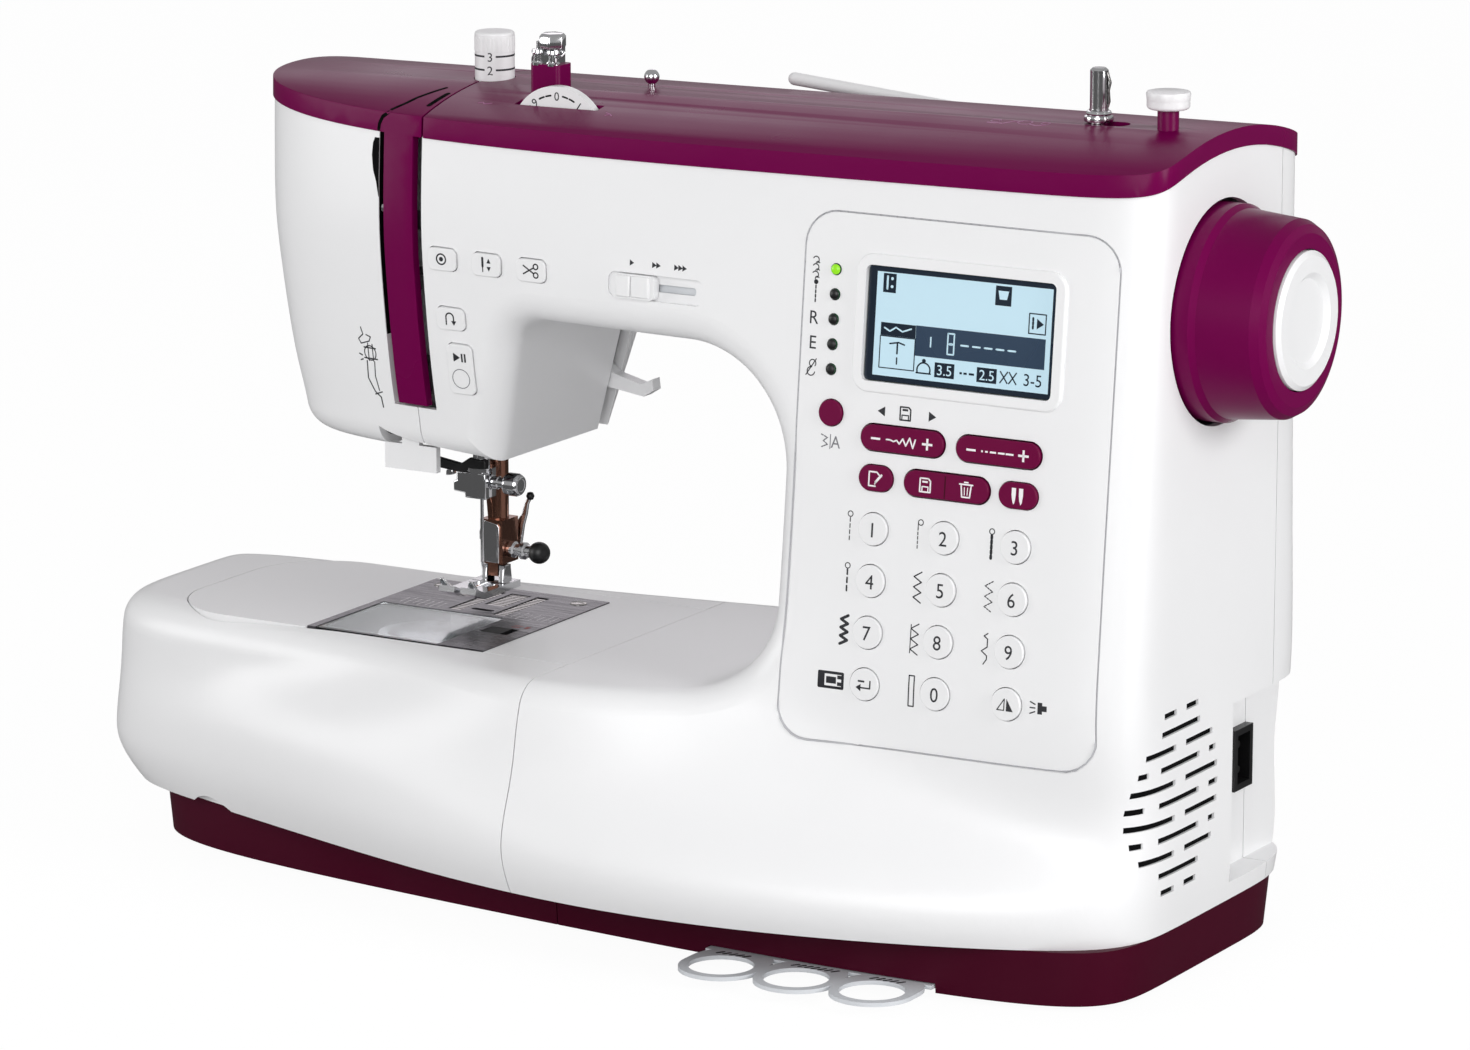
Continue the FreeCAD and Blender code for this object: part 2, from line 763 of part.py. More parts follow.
def lever_slot():
    """Slot in the throat side of the head for the presser lever."""
    y0 = LEVER_Y - LEVER_WIDTH / 2 - 1.2
    y1 = LEVER_Y + LEVER_WIDTH / 2 + 1.2
    return box(LEVER_PIVOT_X + 2, HEAD_RIGHT_HIGH + 8, y0, y1, HEAD_BOTTOM - 8, LEVER_PIVOT_Z + 8)


def slider_cuts(form):
    """Pocket and stem slit of the speed slider in the arm front."""
    mid = (SLIDER_LEFT + SLIDER_RIGHT) / 2
    width = SLIDER_RIGHT - SLIDER_LEFT
    pocket = plate(width, SLIDER_HEIGHT, SLIDER_HEIGHT / 3, -SLIDER_DEPTH, 8)
    slit = plate(width - 8, SLIDER_STEM + 2 * SLIDE_GAP, 1, -8, 0)
    return [
        on_head(form, pocket, mid, SLIDER_Z, SLIDER_HEIGHT),
        on_head(form, slit, mid, SLIDER_Z, SLIDER_HEIGHT),
    ]


def covers():
    """White covers: front, rear and face of the body, and the slide-off extension table."""
    outer = casing(0, 0, EDGE_ROUND)
    inner = casing(WALL, WALL, EDGE_ROUND - WALL)
    end_wall = box(TABLE_SEAM_X, TABLE_SEAM_X + END_WALL, -200, 200, 0, BED_TOP + 5)
    hollow = inner.cut([recess(WALL), end_wall])
    shell = outer.cut([hollow, recess(0), above_seam(TOP_BAND)])

    half = SEAM_GAP / 2
    mid_z = (BED_TOP + HEAD_BOTTOM) / 2
    table_zone = box(-400, TABLE_SEAM_X - half, -200, 200, 0, mid_z)
    face_zone = box(-400, FACE_SEAM_X - half, -200, 200, mid_z, 400)
    low_zone = box(TABLE_SEAM_X + half, 400, -200, 200, 0, 400)
    high_zone = box(FACE_SEAM_X + half, TABLE_SEAM_X + half + 1, -200, 200, mid_z, 400)

    slot = strip_zone(STRIP_SLOT, STRIP_SLOT_RIGHT, 1.0)
    face = shell.common(face_zone).cut([slot, head_opening()])

    window = box(
        TABLE_SEAM_X - 1, TABLE_SEAM_X + END_WALL + 1,
        ARM_FRONT + 2 * WALL, ARM_BACK - 2 * WALL, FREE_ARM_BOTTOM + WALL, BED_TOP - 2 * WALL,
    )
    inlet = box(
        RECESS_FLOOR_X - 2 * WALL, RECESS_FLOOR_X + 1,
        INLET_Y - INLET_WIDTH / 2, INLET_Y + INLET_WIDTH / 2,
        INLET_Z - INLET_HEIGHT / 2, INLET_Z + INLET_HEIGHT / 2,
    )
    main = shell.common(low_zone.fuse(high_zone)).cut([slot, head_opening(), lever_slot(), window, inlet])
    front = main.common(box(-400, 400, -200, REAR_SEAM_Y - half, 0, 400))
    rear = main.common(box(-400, 400, REAR_SEAM_Y + half, 200, 0, 400))

    tools = [vent_slots()]
    wheel_hole = WHEEL_RADIUS + WHEEL_HOLE_GAP
    tools.append(rod(wheel_hole, V(RIGHT_SIDE - 12, SHAFT_Y, SHAFT_Z), V(RIGHT_SIDE + 12, SHAFT_Y, SHAFT_Z)))
    for name, x, z, width, height, corner, rocks in panel_buttons():
        gap = ROCKER_GAP if rocks else BUTTON_GAP
        hole = plate(width + 2 * gap, height + 2 * gap, corner + gap, -9, 9)
        tools.append(on_panel(hole, x, z))
    for name, x, z, width, height in head_buttons():
        hole = plate(width + 2 * BUTTON_GAP, height + 2 * BUTTON_GAP, HEAD_BUTTON_ROUND + BUTTON_GAP, -9, 9)
        tools.append(on_head(outer, hole, x, z, height))
    for i in range(LED_COUNT):
        hole = Part.makeCylinder(LED_RADIUS + BUTTON_GAP, 18, V(0, 0, -9))
        tools.append(on_panel(hole, LED_X, LED_TOP_Z - i * LED_PITCH))
    tools.append(
        on_panel(plate(LCD_WIDTH + 2 * BUTTON_GAP, LCD_HEIGHT + 2 * BUTTON_GAP, 2, -9, 9), LCD_X, LCD_Z)
    )
    tools += slider_cuts(outer)

    wide = PANEL_RIGHT - PANEL_LEFT
    tall = PANEL_HIGH - PANEL_LOW
    deep = 25
    ring = plate(wide, tall, PANEL_CORNER, -5, deep)
    inside = plate(
        wide - 2 * GROOVE_WIDTH, tall - 2 * GROOVE_WIDTH, PANEL_CORNER - GROOVE_WIDTH, -6, deep + 1,
    )
    groove = on_panel(ring.cut(inside), (PANEL_LEFT + PANEL_RIGHT) / 2, (PANEL_LOW + PANEL_HIGH) / 2)
    tools.append(groove.cut(body_loft(GROOVE_DEPTH)))

    rim = plate(LCD_WIDTH + 2 * LCD_RIM, LCD_HEIGHT + 2 * LCD_RIM, 6, -1, LCD_RIM_HEIGHT)
    top = [e for e in rim.Edges if e.BoundBox.ZMin > LCD_RIM_HEIGHT - 0.01]
    rim = rim.makeFillet(LCD_RIM_HEIGHT * 0.8, top)
    adds = [front, on_panel(rim, LCD_X, LCD_Z)]
    for x in (LED_X, KEY_LEFT_X + KEY_PITCH_X * 2.6):
        for z in (KEY_TOP_Z - KEY_PITCH_Z * 1.5, ROCKER_Z + 14):
            adds.append(on_panel(Part.makeCylinder(2.5, BOARD_DEPTH - 1, V(0, 0, -BOARD_DEPTH)), x, z))
    front = adds[0].multiFuse(adds[1:])
    front = front.cut(tools)

    table = shell.common(table_zone)
    channel = free_arm_form(TABLE_GAP, 0, BED_TOP + 20)
    deck_top = SHELL_BOTTOM + DECK_THICKNESS
    liner = free_arm_form(TABLE_GAP + TABLE_INNER_WALL, deck_top, BED_TOP).common(outer).common(table_zone)
    rib = box(TABLE_RIB_LEFT, TABLE_RIB_RIGHT, -200, ARM_FRONT, deck_top, BED_TOP).common(outer)
    table = table.multiFuse([liner, rib]).cut(channel)
    front.exportStep("parts/front_cover.step")
    rear.exportStep("parts/rear_cover.step")
    face.exportStep("parts/face_cover.step")
    table.exportStep("parts/extension_table.step")
    return outer


def buttons(outer):
    """Panel keys and rockers, and the five head buttons."""
    for name, x, z, width, height, corner, rocks in panel_buttons():
        depth = ROCKER_FLANGE_DEPTH if rocks else BUTTON_FLANGE_DEPTH
        cap = button(width, height, corner, BUTTON_PROUD, depth)
        if rocks:
            reach = V(0, height / 2 + BUTTON_FLANGE, 0)
            axis = V(0, 0, -ROCKER_AXIS_DEPTH)
            cap = fused([cap, rod(ROCKER_PIN_RADIUS, axis - reach, axis + reach)])
        on_panel(cap, x, z).exportStep("parts/" + name + ".step")
    for name, x, z, width, height in head_buttons():
        cap = button(width, height, HEAD_BUTTON_ROUND, HEAD_BUTTON_PROUD, BUTTON_FLANGE_DEPTH + 0.5)
        on_head(outer, cap, x, z, height).exportStep("parts/" + name + ".step")


def speed_slider(outer):
    """Knob in its pocket, stem through the slit and keeper behind."""
    mid = (SLIDER_LEFT + SLIDER_RIGHT) / 2
    knob_floor = -SLIDER_DEPTH + SLIDE_GAP
    keeper_top = -WALL - SLIDER_KEEPER_GAP
    keeper_low = keeper_top - SLIDER_KEEPER
    knob = plate(SLIDER_KNOB_WIDTH, SLIDER_HEIGHT - 2 * SLIDE_GAP, 2, knob_floor, SLIDER_PROUD)
    stem = plate(4, SLIDER_STEM, 0.5, keeper_low, knob_floor + 0.5)
    keeper = plate(9, 6, 1, keeper_low, keeper_top)
    slider = on_head(outer, fused([knob, stem, keeper]), mid, SLIDER_Z, SLIDER_HEIGHT)
    slider.translate(V(SLIDER_KNOB_X - mid, 0, 0))
    slider.exportStep("parts/speed_slider.step")


def display_board():
    """Circuit board behind the panel with the display module and indicator lights."""
    low = KEY_TOP_Z - KEY_PITCH_Z * 3 - 9
    high = LED_TOP_Z + 6
    slope = math.cos(math.radians(PANEL_LEAN))
    board = plate(100, (high - low) / slope, 3, -BOARD_DEPTH - BOARD_THICKNESS, -BOARD_DEPTH)
    solids = [on_panel(board, (LED_X + KEY_LEFT_X + 2.6 * KEY_PITCH_X) / 2, (high + low) / 2)]
    module = plate(LCD_WIDTH, LCD_HEIGHT, 1.8, -BOARD_DEPTH, -LCD_SINK)
    solids.append(on_panel(module, LCD_X, LCD_Z))
    for i in range(LED_COUNT):
        light = Part.makeCylinder(LED_RADIUS, BOARD_DEPTH + 0.4, V(0, 0, -BOARD_DEPTH))
        solids.append(on_panel(light, LED_X, LED_TOP_Z - i * LED_PITCH))
    Part.Compound(solids).exportStep("parts/display_board.step")


def top_covers(outer):
    """Purple crowned top, split into the main cover and the head cap that carries the thread strip."""
    grown = body_loft(-TOP_OVERHANG)
    form = grown.common(above_seam(TOP_BAND)).common(crown(0))
    hollow = body_loft(TOP_WALL).common(above_seam(TOP_BAND + 2)).common(crown(TOP_WALL))

    def spool_recess(grow):
        y0 = PIN_Y - PIN_RECESS_HALF - grow
        y1 = PIN_Y + PIN_RECESS_HALF + grow
        return box(
            PIN_RECESS_LEFT - grow, PIN_RECESS_RIGHT + grow, y0, y1, PIN_RECESS_Z - grow, TOP_CROWN + 30,
        )

    cap = form.cut(hollow.cut(spool_recess(TOP_WALL))).cut(spool_recess(0))
    post = plate(11.5, 9, 1.5, TOP_CROWN - TOP_WALL - 2.5, GUIDE_POST_TOP)
    post.translate(V(GUIDE_X, GUIDE_Y, 0))
    stop_z = crown_z(STOP_X, STOP_Y)
    stem = rod(STOP_STEM_RADIUS, V(STOP_X, STOP_Y, stop_z - 2), V(STOP_X, STOP_Y, stop_z + STOP_STEM_HEIGHT))
    cap = cap.multiFuse([post, stem])

    pin_start, pin_end = pin_ends()
    dial = TENSION_RADIUS - TENSION_SHOWN
    chord = math.sqrt(TENSION_RADIUS ** 2 - dial ** 2) + 2.5
    wide = TENSION_THICKNESS / 2 + 0.7
    slot = SPINDLE_RADIUS + 0.6
    spindle_slot = plate(2 * slot + SPINDLE_TRAVEL, 2 * slot, slot, ARM_BOTTOM + 40, TOP_CROWN + 20)
    spindle_slot.translate(V(SPINDLE_X + SPINDLE_TRAVEL / 2, SPINDLE_Y, 0))
    cap = cap.cut([
        rod(
            PRESSURE_RADIUS + 0.4, V(NEEDLE_X, PRESSER_Y, ARM_BOTTOM + 40),
            V(NEEDLE_X, PRESSER_Y, TOP_CROWN + 20),
        ),
        box(
            TENSION_X - chord, TENSION_X + chord, TENSION_Y - wide,
            TENSION_Y + wide, ARM_BOTTOM + 40, TOP_CROWN + 20,
        ),
        spindle_slot,
        rod(PIN_RADIUS, pin_start, pin_end),
        rod(
            1.2, V(HOOK_GUIDE_X, HOOK_GUIDE_Y, TOP_CROWN - 14),
            V(HOOK_GUIDE_X, HOOK_GUIDE_Y, TOP_CROWN + 20),
        ),
    ])
    half = SEAM_GAP
    top = cap.common(box(CAP_SEAM_X + half, 400, -200, 200, 0, 400))
    head = cap.common(box(-400, CAP_SEAM_X - half, -200, 200, 0, 400))
    wall = grown.cut(body_loft(WALL)).common(strip_zone(0, 0, 0)).cut(above_seam(TOP_BAND - 1))
    head = head.fuse(wall)
    top.exportStep("parts/top_cover.step")
    head.exportStep("parts/head_cap.step")


def pin_ends():
    """Root and tip of the spool pin."""
    return V(PIN_ROOT_X, PIN_Y, PIN_ROOT_Z), V(PIN_TIP_X, PIN_Y, PIN_TIP_Z)


def top_fittings():
    """Spool pin, winder stop, winder spindle, dials and chrome thread guides."""
    start, end = pin_ends()
    pin = rod(PIN_RADIUS, start, end)
    pin = pin.fuse(Part.makeSphere(PIN_RADIUS, end)).removeSplitter()
    stop_z = crown_z(STOP_X, STOP_Y) + STOP_STEM_HEIGHT
    knob = rod(STOP_RADIUS, V(STOP_X, STOP_Y, stop_z), V(STOP_X, STOP_Y, stop_z + STOP_HEIGHT))
    knob = knob.makeFillet(1.2, [e for e in knob.Edges if e.BoundBox.ZLength < 0.01])
    Part.Compound([pin, knob]).exportStep("parts/spool_pin.step")

    base_z = crown_z(SPINDLE_X, SPINDLE_Y)
    tip = V(SPINDLE_X, SPINDLE_Y, base_z + SPINDLE_HEIGHT)
    roof = min(crown_z(SPINDLE_X - 10, SPINDLE_Y - 9), crown_z(SPINDLE_X - 10, SPINDLE_Y + 9))
    foot = roof - TOP_WALL - SLIDE_GAP
    shaft = rod(SPINDLE_RADIUS, V(SPINDLE_X, SPINDLE_Y, foot - 1), tip)
    shaft = shaft.makeChamfer(0.8, [e for e in shaft.Edges if e.BoundBox.ZMin > tip.z - 0.01])
    carrier = box(SPINDLE_X - 10, SPINDLE_X + 10, SPINDLE_Y - 9, SPINDLE_Y + 9, foot - 2.5, foot)
    shaft.fuse(carrier).removeSplitter().exportStep("parts/winder_spindle.step")

    dial_z = crown_z(NEEDLE_X, PRESSER_Y)
    stub = rod(
        PRESSER_BAR_RADIUS, V(NEEDLE_X, PRESSER_Y, BAR_TOP + SLIDE_GAP), V(NEEDLE_X, PRESSER_Y, dial_z),
    )
    head = rod(
        PRESSURE_RADIUS, V(NEEDLE_X, PRESSER_Y, dial_z - 4),
        V(NEEDLE_X, PRESSER_Y, dial_z + PRESSURE_HEIGHT),
    )
    head = head.makeFillet(1.0, [e for e in head.Edges if e.BoundBox.ZMin > dial_z + PRESSURE_HEIGHT - 0.01])
    head.fuse(stub).removeSplitter().exportStep("parts/pressure_dial.step")

    centre_z = tension_z()
    y0 = TENSION_Y - TENSION_THICKNESS / 2
    y1 = TENSION_Y + TENSION_THICKNESS / 2
    disc = rod(TENSION_RADIUS, V(TENSION_X, y0, centre_z), V(TENSION_X, y1, centre_z))
    axle = rod(3, V(TENSION_X, y1 - 1, centre_z), V(TENSION_X, y1 + 6, centre_z))
    disc.fuse(axle).removeSplitter().exportStep("parts/tension_dial.step")

    block = plate(8.5, 6.5, 1.2, GUIDE_POST_TOP, GUIDE_POST_TOP + GUIDE_HEIGHT)
    notch = box(-0.6, 0.6, -10, 10, GUIDE_POST_TOP + 3, GUIDE_POST_TOP + GUIDE_HEIGHT + 1)
    block = block.cut(notch)
    block.translate(V(GUIDE_X, GUIDE_Y, 0))
    hook_z = crown_z(HOOK_GUIDE_X, HOOK_GUIDE_Y)
    stalk = rod(1.2, V(HOOK_GUIDE_X, HOOK_GUIDE_Y, hook_z - 3), V(HOOK_GUIDE_X, HOOK_GUIDE_Y, hook_z + 2))
    bead = Part.makeSphere(2.6, V(HOOK_GUIDE_X, HOOK_GUIDE_Y, hook_z + 3.4))
    Part.Compound([block, stalk.fuse(bead).removeSplitter()]).exportStep("parts/thread_guides.step")


def tension_z():
    """Axle height of the tension dial."""
    return crown_z(TENSION_X, TENSION_Y) + TENSION_SHOWN - TENSION_RADIUS


def plinth_outline(z, grow):
    """Plan curve of the base plinth."""
    left = PLINTH_LEFT - grow
    right = PLINTH_RIGHT + grow
    mid = (left + right) / 2
    points = []
    for turn in ring_angles():
        across, along = ring_reach(turn, 4, 8)
        x = mid + (right - mid) * across
        if along < 0:
            u = max(-1.0, min(1.0, (x - 110) / 330))
            y = FRONT_CORNER_Y + 2 - 19 * 0.5 * (1 + math.cos(math.pi * u)) - grow
        else:
            y = REAR_LEFT - 9 + (REAR_RIGHT - REAR_LEFT - 1) * ease((x + 150) / 320) + grow
        points.append(V(x, BODY_MID_Y + (y - BODY_MID_Y) * abs(along), z))
    return closed_curve(points)


def base():
    """Purple plinth with its deck, split at the extension table seam, and the rubber feet."""
    low = plinth_outline(PLINTH_BOTTOM, 0)
    high = plinth_outline(SHELL_BOTTOM, PLINTH_FLARE)
    form = Part.makeLoft([low, high], True, True)
    inner_low = plinth_outline(FOOT_HEIGHT + PLINTH_FLOOR, -PLINTH_WALL)
    tall = SHELL_BOTTOM + DECK_THICKNESS + 1 - FOOT_HEIGHT - PLINTH_FLOOR
    pit = Part.Face(inner_low).extrude(V(0, 0, tall))
    under = Part.Face(plinth_outline(0, -PLINTH_WALL)).extrude(V(0, 0, FOOT_HEIGHT))
    deck_edge = closed_curve(body_ring(body_rows()[0], WALL + DECK_GAP))
    deck = Part.Face(deck_edge).extrude(V(0, 0, DECK_THICKNESS))
    whole = form.fuse(deck).cut(pit).cut(under)
    half = SEAM_GAP / 2
    tray = whole.common(box(TABLE_SEAM_X + half, 400, -200, 200, 0, 100))
    clear = box(TABLE_SEAM_X - 1, TABLE_SEAM_X + END_WALL + half, -200, 200, SHELL_BOTTOM, 100)
    tray = tray.cut(clear)
    slot = box(CARD_LEFT - CARD_GAP, CARD_RIGHT + CARD_GAP, -200, 0, 0, CARD_Z + CARD_THICKNESS + CARD_GAP)
    tray = tray.cut(slot)
    rails = []
    rail_back = CARD_BACK_Y
    rail_front = CARD_ROOT_Y + 22
    for side, x in ((-1, CARD_LEFT), (1, CARD_RIGHT)):
        near = x + side * CARD_GAP
        far = x + side * (CARD_GAP + 3)
        lip = x - side * 3
        rails.append(
            box(min(near, far), max(near, far), rail_front, rail_back, PLINTH_BOTTOM, FOOT_HEIGHT + 0.5)
        )
        edge = PLINTH_BOTTOM - 0.3
        rails.append(box(min(lip, far), max(lip, far), rail_front, rail_back, edge, CARD_Z - SLIDE_GAP))
    tray = tray.multiFuse(rails)
    solids = [tray]
    for x, y in ((6, -32), (172, -36), (172, 66), (6, 52)):
        solids.append(Part.makeCylinder(FOOT_RADIUS, FOOT_HEIGHT, V(x, y, 0)))
    Part.Compound(solids).exportStep("parts/base_tray.step")
    left = whole.common(box(-400, TABLE_SEAM_X - half, -200, 200, 0, 100))
    solids = [left]
    for x, y in ((-168, -14), (-168, 24)):
        solids.append(Part.makeCylinder(FOOT_RADIUS, FOOT_HEIGHT, V(x, y, 0)))
    Part.Compound(solids).exportStep("parts/extension_base.step")


def pattern_card():
    """Flat card under the base with three finger rings along its front."""
    body = box(CARD_LEFT, CARD_RIGHT, CARD_ROOT_Y, CARD_BACK_Y, CARD_Z, CARD_Z + CARD_THICKNESS)
    pitch = (CARD_RIGHT - CARD_LEFT) / CARD_RINGS
    deep = CARD_ROOT_Y - CARD_TIP_Y
    shapes = [body]
    holes = []
    for i in range(CARD_RINGS):
        x = CARD_LEFT + pitch * (i + 0.5)
        ring = plate(pitch, deep + 6, deep / 2, CARD_Z, CARD_Z + CARD_THICKNESS)
        ring.translate(V(x, CARD_ROOT_Y - deep / 2 + 3, 0))
        shapes.append(ring)
        hole = plate(pitch - 2 * CARD_RIM, deep - 2 * CARD_RIM, deep / 2, CARD_Z - 1, CARD_Z + 9)
        hole.translate(V(x, CARD_ROOT_Y - deep / 2, 0))
        holes.append(hole)
    fused(shapes).cut(holes).exportStep("parts/pattern_card.step")


def plate_bottom():
    """Underside height of the needle plate."""
    return BED_TOP + PLATE_PROUD - PLATE_THICKNESS


def free_arm():
    """Hollow free arm with the seat and opening for the needle plate."""
    form = free_arm_form(0, FREE_ARM_BOTTOM, BED_TOP)
    inner = free_arm_form(-WALL, FREE_ARM_BOTTOM + WALL, BED_TOP - WALL)
    mouth = box(
        TABLE_SEAM_X - 9, TABLE_SEAM_X + 1,
        ARM_FRONT + WALL, ARM_BACK - WALL, FREE_ARM_BOTTOM + WALL, BED_TOP - WALL,
    )
    inner = inner.fuse(mouth)
    gap = 0.2
    low = plate_bottom()
    seat = box(PLATE_LEFT - gap, PLATE_RIGHT + gap, ARM_FRONT - 1, PLATE_BACK + gap, low, BED_TOP + 9)
    ledge = PLATE_LEDGE
    hole = box(
        PLATE_LEFT + ledge, PLATE_RIGHT - ledge, PLATE_FRONT + ledge, PLATE_BACK - ledge, low - 9, low + 9,
    )
    form.cut([inner, seat, hole]).exportStep("parts/free_arm.step")


def needle_plate():
    """Steel plate with the cover opening, latch slot, feed slots and needle slot."""
    low = plate_bottom()
    high = BED_TOP + PLATE_PROUD
    gap = SLIDE_GAP
    form = box(PLATE_LEFT, PLATE_RIGHT, PLATE_FRONT, PLATE_BACK, low, high)
    cuts = [box(COVER_LEFT - gap, COVER_RIGHT + gap, PLATE_FRONT - 1, COVER_BACK + gap, low - 1, high + 1)]
    half = LATCH_SIZE / 2
    cuts.append(
        box(
            LATCH_X - half - gap, LATCH_X + half + gap + LATCH_TRAVEL,
            LATCH_Y - half - gap, LATCH_Y + half + gap, low - 1, high + 1,
        )
    )
    for x, y0, y1, width in feed_bars():
        side = width / 2 + 0.6
        cuts.append(box(x - side, x + side, y0 - 0.8, y1 + 0.8, low - 1, high + 1))
    slot = plate(9, 2.4, 1.2, low - 1, high + 1)
    slot.translate(V(NEEDLE_X, NEEDLE_Y, 0))
    cuts.append(slot)
    form.cut(cuts).exportStep("parts/needle_plate.step")

    front = PLATE_FRONT + gap
    lid = box(COVER_LEFT, COVER_RIGHT, front, COVER_BACK, low, low + COVER_THICKNESS)
    lid.exportStep("parts/bobbin_cover.step")

    tile = box(LATCH_X - half, LATCH_X + half, LATCH_Y - half, LATCH_Y + half, low, high)
    lip = 1.5
    wide = half + lip
    keeper = box(LATCH_X - wide, LATCH_X + wide, LATCH_Y - wide, LATCH_Y + wide, low - 1.6, low - SLIDE_GAP)
    neck = box(LATCH_X - half, LATCH_X + half, LATCH_Y - half, LATCH_Y + half, low - 1, low + 0.5)
    fused([tile, keeper, neck]).exportStep("parts/bobbin_latch.step")


def feed_bars():
    """Middle X, front, back and width of the toothed feed bars."""
    side = FEED_SPREAD / 2
    return [
        (NEEDLE_X - side, FEED_FRONT, FEED_BACK, FEED_BAR),
        (NEEDLE_X + side, FEED_FRONT, FEED_BACK, FEED_BAR),
        (NEEDLE_X, NEEDLE_Y + 8, FEED_BACK, FEED_BAR + 3),
    ]


def feed_dog():
    """Feed dog: toothed bars on a carrier with a guide pin into the lower beam."""
    base_low = BED_TOP - 12
    base_high = BED_TOP - 5
    side = FEED_SPREAD / 2 + FEED_BAR / 2
    shapes = [box(NEEDLE_X - side, NEEDLE_X + side, NEEDLE_Y + 8, FEED_BACK, base_low, base_high)]
    for x, y0, y1, width in feed_bars():
        bar = box(x - width / 2, x + width / 2, y0, y1, base_high - 2, FEED_TOP_Z)
        teeth = []
        count = int((y1 - y0) / 2)
        for i in range(count):
            y = y0 + 1.2 + 2 * i
            teeth.append(box(x - width, x + width, y, y + 0.8, FEED_TOP_Z - 0.7, FEED_TOP_Z + 1))
        shapes.append(bar.cut(teeth))
    top = lower_beam_top()
    pin_low = top - LOWER_BEAM_THICKNESS + 3
    shapes.append(rod(3, V(NEEDLE_X, FEED_BACK - 9, pin_low), V(NEEDLE_X, FEED_BACK - 9, base_low + 1)))
    fused(shapes).exportStep("parts/feed_dog.step")


def lower_beam_top():
    """Upper face of the lower chassis beam."""
    return FREE_ARM_BOTTOM + WALL + LOWER_BEAM_THICKNESS


def lower_shaft_y():
    """Lower shaft line: its worm runs clear beside the hook gear."""
    return HOOK_Y + HOOK_GEAR_RADIUS + WORM_RADIUS + 0.4


def hook_group():
    """Rotary hook with its gear and pivot, and the bobbin in it."""
    foot = V(HOOK_X, HOOK_Y, lower_beam_top() - LOWER_BEAM_THICKNESS + 1)
    cup = Part.makeCylinder(HOOK_RADIUS, HOOK_TOP - HOOK_BOTTOM, V(HOOK_X, HOOK_Y, HOOK_BOTTOM))
    bowl = Part.makeCylinder(HOOK_RADIUS - HOOK_WALL, 50, V(HOOK_X, HOOK_Y, HOOK_BOTTOM + HOOK_FLOOR))
    gear_low = LOWER_SHAFT_Z - 4
    gear = Part.makeCylinder(HOOK_GEAR_RADIUS, 8, V(HOOK_X, HOOK_Y, gear_low))
    pivot = rod(4, foot, V(HOOK_X, HOOK_Y, HOOK_BOTTOM + 1))
    hook = fused([cup.cut(bowl), gear, pivot])
    hook.exportStep("parts/rotary_hook.step")

    seat = HOOK_BOTTOM + HOOK_FLOOR + SLIDE_GAP
    rim = 1.2
    core = BOBBIN_RADIUS - 5
    spool = turned(
        [(0, 3), (0, BOBBIN_RADIUS), (rim, BOBBIN_RADIUS), (rim, core), (BOBBIN_HEIGHT - rim, core),
         (BOBBIN_HEIGHT - rim, BOBBIN_RADIUS), (BOBBIN_HEIGHT, BOBBIN_RADIUS), (BOBBIN_HEIGHT, 3)],
        V(HOOK_X, HOOK_Y, seat), V(0, 0, 1),
    )
    spool.exportStep("parts/bobbin.step")


def shafts():
    """Main shaft with crank and pulleys, lower shaft with worm and pulley."""
    y = SHAFT_Y
    z = SHAFT_Z
    left = NEEDLE_X + CRANK_OFFSET
    main = [rod(SHAFT_RADIUS, V(left, y, z), V(WHEEL_OUTER_X - WHEEL_CAP_DEPTH - 2, y, z))]
    main.append(rod(CRANK_RADIUS, V(left, y, z), V(left + CRANK_THICKNESS, y, z)))
    main.append(rod(PULLEY_RADIUS, V(PULLEY_X, y, z), V(PULLEY_X + PULLEY_WIDTH, y, z)))
    main.append(
        rod(DRIVE_PULLEY_RADIUS, V(DRIVE_PULLEY_X, y, z), V(DRIVE_PULLEY_X + DRIVE_PULLEY_WIDTH, y, z))
    )
    fused(main).exportStep("parts/main_shaft.step")

    y = lower_shaft_y()
    z = LOWER_SHAFT_Z
    worm = HOOK_GEAR_RADIUS
    lower = [rod(LOWER_SHAFT_RADIUS, V(HOOK_X - worm, y, z), V(PULLEY_X + PULLEY_WIDTH, y, z))]
    lower.append(rod(WORM_RADIUS, V(HOOK_X - worm + 2, y, z), V(HOOK_X + worm - 2, y, z)))
    lower.append(rod(PULLEY_RADIUS, V(PULLEY_X, y, z), V(PULLEY_X + PULLEY_WIDTH, y, z)))
    fused(lower).exportStep("parts/lower_shaft.step")


def belt(y1, z1, r1, y2, z2, r2, x0, x1):
    """Closed belt round two pulleys."""

    def loop(a, b):
        span = math.hypot(y2 - y1, z2 - z1)
        turn = math.atan2(z2 - z1, y2 - y1)
        open_angle = math.acos((a - b) / span)

        def at(y, z, r, angle):
            return V(x0, y + r * math.cos(angle), z + r * math.sin(angle))

        up = turn + open_angle
        down = turn - open_angle
        edges = [
            Part.LineSegment(at(y1, z1, a, down), at(y2, z2, b, down)),
            Part.Arc(at(y2, z2, b, down), at(y2, z2, b, turn), at(y2, z2, b, up)),
            Part.LineSegment(at(y2, z2, b, up), at(y1, z1, a, up)),
            Part.Arc(at(y1, z1, a, up), at(y1, z1, a, turn + math.pi), at(y1, z1, a, down)),
        ]
        return Part.Face(Part.Wire([e.toShape() for e in edges])).extrude(V(x1 - x0, 0, 0))

    inner = BELT_GAP
    outer = BELT_GAP + BELT_THICKNESS
    return loop(r1 + outer, r2 + outer).cut(loop(r1 + inner, r2 + inner))


